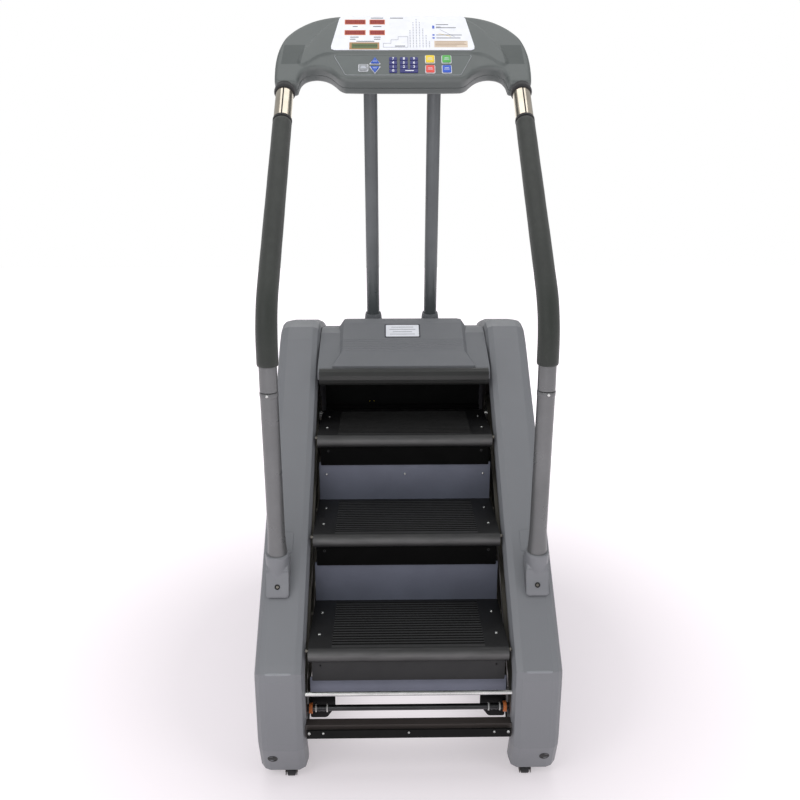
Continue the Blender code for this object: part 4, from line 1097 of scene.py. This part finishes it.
def build_console_shells():
    outline = chaikin(both_sides(CONSOLE_HALF), 2)
    recess = Loop(both_sides(RECESS_HALF)).points
    grown, shrunk = resized(recess, 1.006, 1.02), resized(recess, 0.988, 0.95)
    plateau = chaikin(both_sides(PLATEAU_HALF), 2)
    patches = [PATCH_HALF, [(-u, w) for u, w in PATCH_HALF]]
    bm = shell_mesh(outline, [grown, shrunk, plateau] + patches, front_height, -FRONT_DEPTH, 0.0014,
                    patches)
    make("console_top_moulding", bm, "console_grey console_patch", sharp=50.0, replaces="console_front")
    bm = bmesh.new()
    line = resized(recess, 1.004, 1.015)
    for a, b in zip(line, line[1:] + line[:1]):
        if min(a[1], b[1]) < 0.137:
            add_bar(bm, a, b, 0.0018, -0.0024, -0.0006)
    make("keypad_bevel", bm, "bevel_grey", sharp=50.0)
    bm = shell_mesh(outline, [], back_height, -FRONT_DEPTH - 0.0008, 0.0, ())
    make("console_back_moulding", bm, "console_grey", sharp=50.0, replaces="console_back")


def add_plate(bm, outline, low, high, slot=0):
    """Thin plate parallel to the console face."""
    add_slab(bm, FACE_ORIGIN, RIGHT, FACE_UP, outline, low, high, slot)


def block(u0, u1, w0, w1, radius=0.0):
    points = [(u0, w0), (u1, w0), (u1, w1), (u0, w1)]
    return grid_round(points, radius) if radius else points


def add_bar(bm, a, b, width, low, high, slot=0):
    along = Vector(b) - Vector(a)
    side = Vector((-along.y, along.x)).normalized() * width / 2
    points = [Vector(a) - side, Vector(b) - side, Vector(b) + side, Vector(a) + side]
    add_plate(bm, [(p.x, p.y) for p in points], low, high, slot)


WINDOW_RIM = 0.0022
WINDOW_TALL = 0.019
LCD_PITCH = 0.0043
DOT_PITCH = (0.00925, 0.0062)
PANEL_TOP = 0.0018
SKIN_TOP = -0.0020


def build_display():
    low, high = PANEL_TOP - 0.0002, PANEL_TOP + 0.0003
    bm = bmesh.new()
    windows = [(u0, u1, count, w0) for w0 in (0.2535, 0.2125)
               for u0, u1, count in ((-0.168, -0.107, 4), (-0.096, -0.051, 3))]
    for u0, u1, count, w0 in windows:
        rim, w1 = WINDOW_RIM, w0 + WINDOW_TALL
        add_plate(bm, block(u0, u1, w0, w1, 0.001), low, high, 0)
        add_plate(bm, block(u0 + rim, u1 - rim, w0 + rim, w1 - rim, 0.0008), low, high + 0.0002, 1)
        pitch = (u1 - u0 - 0.012) / count
        for k in range(count):
            add_digit(bm, u0 + 0.006 + pitch * (k + 0.5), (w0 + w1) / 2, pitch * 0.27, 0.0052,
                      high + 0.0003, 2)
    add_plate(bm, block(-0.1535, -0.0675, 0.1575, 0.1845, 0.001), low, high, 3)
    add_plate(bm, block(-0.1470, -0.0725, 0.1615, 0.1800, 0.001), low, high + 0.0002, 4)
    for k in range(16):
        u = -0.1425 + k * LCD_PITCH
        add_plate(bm, block(u, u + 0.0031, 0.1690, 0.1735), low, high + 0.0004, 5)
    make("display_windows", bm, "window_rim led_window led_segment lcd_rim lcd_glass lcd_segment")
    bm = bmesh.new()
    steps = [(-0.056, 0.166), (-0.056, 0.181), (-0.034, 0.181), (-0.034, 0.1945), (-0.0133, 0.1945),
             (-0.0133, 0.2062), (0.0148, 0.2062), (0.0148, 0.166), (-0.056, 0.166)]
    for a, b in zip(steps, steps[1:]):
        add_bar(bm, a, b, 0.0011, low, high, 0)
    for column, top in enumerate((0.229, 0.260, 0.274, 0.264, 0.236, 0.212, 0.189)):
        u = 0.0213 + DOT_PITCH[0] * column
        for row in range(int((top - 0.166) / DOT_PITCH[1]) + 1):
            w = 0.1675 + DOT_PITCH[1] * row
            add_plate(bm, block(u - 0.0014, u + 0.0014, w - 0.0012, w + 0.0012), low, high, 0)
    captions = [(-0.1375, 0.2455, 0.014), (-0.0735, 0.2455, 0.024), (-0.139, 0.2045, 0.024),
                (-0.144, 0.1965, 0.016), (-0.0735, 0.2045, 0.020), (-0.0735, 0.1965, 0.018),
                (-0.1075, 0.1885, 0.052), (-0.074, 0.2785, 0.036), (-0.017, 0.2785, 0.038),
                (-0.008, 0.1705, 0.030)]
    for u, w, width in captions:
        add_bar(bm, (u - width / 2, w), (u + width / 2, w), 0.0022, low, high, 1)
    for w, width, slot in ((0.2530, 0.036, 1), (0.2445, 0.014, 0), (0.2410, 0.058, 1),
                           (0.2130, 0.074, 1), (0.2015, 0.070, 1)):
        add_bar(bm, (0.097, w), (0.097 + width, w), 0.0020, low, high, slot)
    for w in (0.2465, 0.2405, 0.2130, 0.2015):
        add_plate(bm, block(0.0860, 0.0925, w - 0.0026, w + 0.0026, 0.001), low, high, 2)
    add_bar(bm, (0.108, 0.234), (0.150, 0.206), 0.0009, low, high, 0)
    add_bar(bm, (0.104, 0.219), (0.140, 0.207), 0.0009, low, high, 3)
    add_plate(bm, block(0.0905, 0.1870, 0.1655, 0.1905, 0.001), low, high, 4)
    for w, width in ((0.1868, 0.088), (0.1815, 0.084), (0.1762, 0.090), (0.1709, 0.062)):
        add_bar(bm, (0.0935, w), (0.0935 + width, w), 0.0015, low, high + 0.0001, 5)
    make("panel_print", bm, "ink_grey ink_dark key_blue key_yellow notice_tan ink_brown")


def add_digit(bm, u, w, half_u, half_w, out, slot):
    """Seven-segment figure eight, unlit."""
    t = 0.0009
    for dw in (-half_w, 0.0, half_w):
        add_bar(bm, (u - half_u + t, w + dw), (u + half_u - t, w + dw), t, out - 0.0002, out, slot)
    for du in (-half_u, half_u):
        for part in (-0.5, 0.5):
            add_bar(bm, (u + du, w + half_w * (part - 0.42)), (u + du, w + half_w * (part + 0.42)), t,
                    out - 0.0002, out, slot)


def add_figure(bm, text, u, w, size, out, slot):
    """Raised figure, 0.2 mm thick, on the console face."""
    curve = bpy.data.curves.new("figure", "FONT")
    curve.body = text
    curve.size = size
    curve.align_x = "CENTER"
    curve.align_y = "CENTER"
    curve.resolution_u = 3
    curve.offset = 0.0002
    curve.extrude = 0.0001
    holder = bpy.data.objects.new("figure", curve)
    mesh = bpy.data.meshes.new_from_object(holder)
    verts = [bm.verts.new(on_face(u + v.co.x, w + v.co.y, out - 0.0001 + v.co.z)) for v in mesh.vertices]
    for polygon in mesh.polygons:
        face = bm.faces.new([verts[i] for i in polygon.vertices])
        face.material_index = slot
    bpy.data.objects.remove(holder)
    bpy.data.curves.remove(curve)
    bpy.data.meshes.remove(mesh)


SQUARE_KEYS = ("key_select", "key_yellow", "key_green", "key_red", "key_blue")
ARROW_KEYS = {"key_up": 1, "key_down": -1}
KEY_LEVELS = ((-0.0005, 1.0), (0.0008, 1.0), (0.0014, 0.97), (0.0018, 0.90), (0.0019, 0.60))
PAD_LEVELS = ((-0.0019, 1.0), (-0.0002, 1.0), (0.0004, 0.94), (0.0005, 0.80))


def build_keys():
    bm = bmesh.new()
    columns = (-0.0283, 0.0022, 0.0312)
    rows = (0.1245, 0.1095, 0.0945, 0.0800)
    for row, figures in enumerate(("789", "456", "123", "0")):
        for column, figure in enumerate(figures):
            u, w = columns[column], rows[row]
            add_number_key(bm, u, u, w)
            add_figure(bm, figure, u, w, 0.0125, 0.00065, 1)
    w = rows[3]
    add_number_key(bm, columns[1], columns[2], w)
    add_bar(bm, (0.006, w), (0.030, w), 0.0030, 0.0004, 0.00065, 1)
    make("number_keys", bm, "pad_indigo ink_white", sharp=40.0, replaces="number_pad")
    rims = bmesh.new()
    low, top = SKIN_TOP - 0.0002, SKIN_TOP + 0.0003
    for name in SQUARE_KEYS:
        u0, u1, w0, w1 = face_box(name)
        grow = 0.0002
        add_plate(rims, block(u0 - grow, u1 + grow, w0 - grow, w1 + grow, 0.0045), low, top)
    for name, way in ARROW_KEYS.items():
        u0, u1, w0, w1 = face_box(name)
        u, w = (u0 + u1) / 2, (w0 + w1) / 2
        half_u, half_w = (u1 - u0) / 2 + 0.0012, (w1 - w0) / 2 + 0.0006
        points = [(u - half_u, w - half_w * way), (u + half_u, w - half_w * way), (u, w + half_w * way)]
        add_plate(rims, grid_round(points, 0.003), low, top)
    make("key_borders", rims, "ink_white")
    for name in SQUARE_KEYS + tuple(ARROW_KEYS):
        u0, u1, w0, w1 = face_box(name)
        u, w = (u0 + u1) / 2, (w0 + w1) / 2
        bm = bmesh.new()
        if name in ARROW_KEYS:
            way = ARROW_KEYS[name]
            foot = w - (w1 - w0 - 0.0026) / 2 * way
            points = [(u0 + 0.0022, foot), (u1 - 0.0022, foot), (u, w + (w1 - w0 - 0.0034) / 2 * way)]
            add_cap(bm, grid_round(points, 0.0022, 4), (u, w - (w1 - w0) / 6 * way), KEY_LEVELS)
            legend = [(0.0055, -0.0050 * way, 0.0014)]
        else:
            edge = 0.0019
            add_cap(bm, block(u0 + edge, u1 - edge, w0 + edge, w1 - edge, 0.0034), (u, w), KEY_LEVELS)
            legend = [(0.0060, 0.0020, 0.0018), (0.0075, -0.0030, 0.0018)]
        for half, lift, width in legend:
            add_bar(bm, (u - half, w + lift), (u + half, w + lift), width, 0.0017, 0.00205, 1)
        make(name + "_cap", bm, SLOT_OF[name] + " ink_pale", body=name, sharp=50.0, replaces=name)


def face_box(name):
    """Lowest and highest (u, w) of a key on the console face."""
    points = [v.co - FACE_ORIGIN for v in frame["nodes"][name].data.vertices]
    us = [p.x for p in points]
    ws = [p.dot(FACE_UP) for p in points]
    return min(us), max(us), min(ws), max(ws)


def add_cap(bm, outline, centre, levels):
    """Domed key: the outline drawn in towards its centre as it rises."""
    stitch(bm, [[on_face(lerp(centre[0], u, s), lerp(centre[1], w, s), h) for u, w in outline]
                for h, s in levels])


def add_number_key(bm, first, last, w):
    """Key of the number pad, from the column centred on first to the one centred on last."""
    outline = block(first - 0.0112, last + 0.0112, w - 0.0064, w + 0.0064, 0.0030)
    add_cap(bm, outline, ((first + last) / 2, w), PAD_LEVELS)


for build in (build_steps, build_rails, build_base_trim, build_brackets, build_service_details,
              build_hood_label, build_console_shells, build_display, build_keys):
    build()
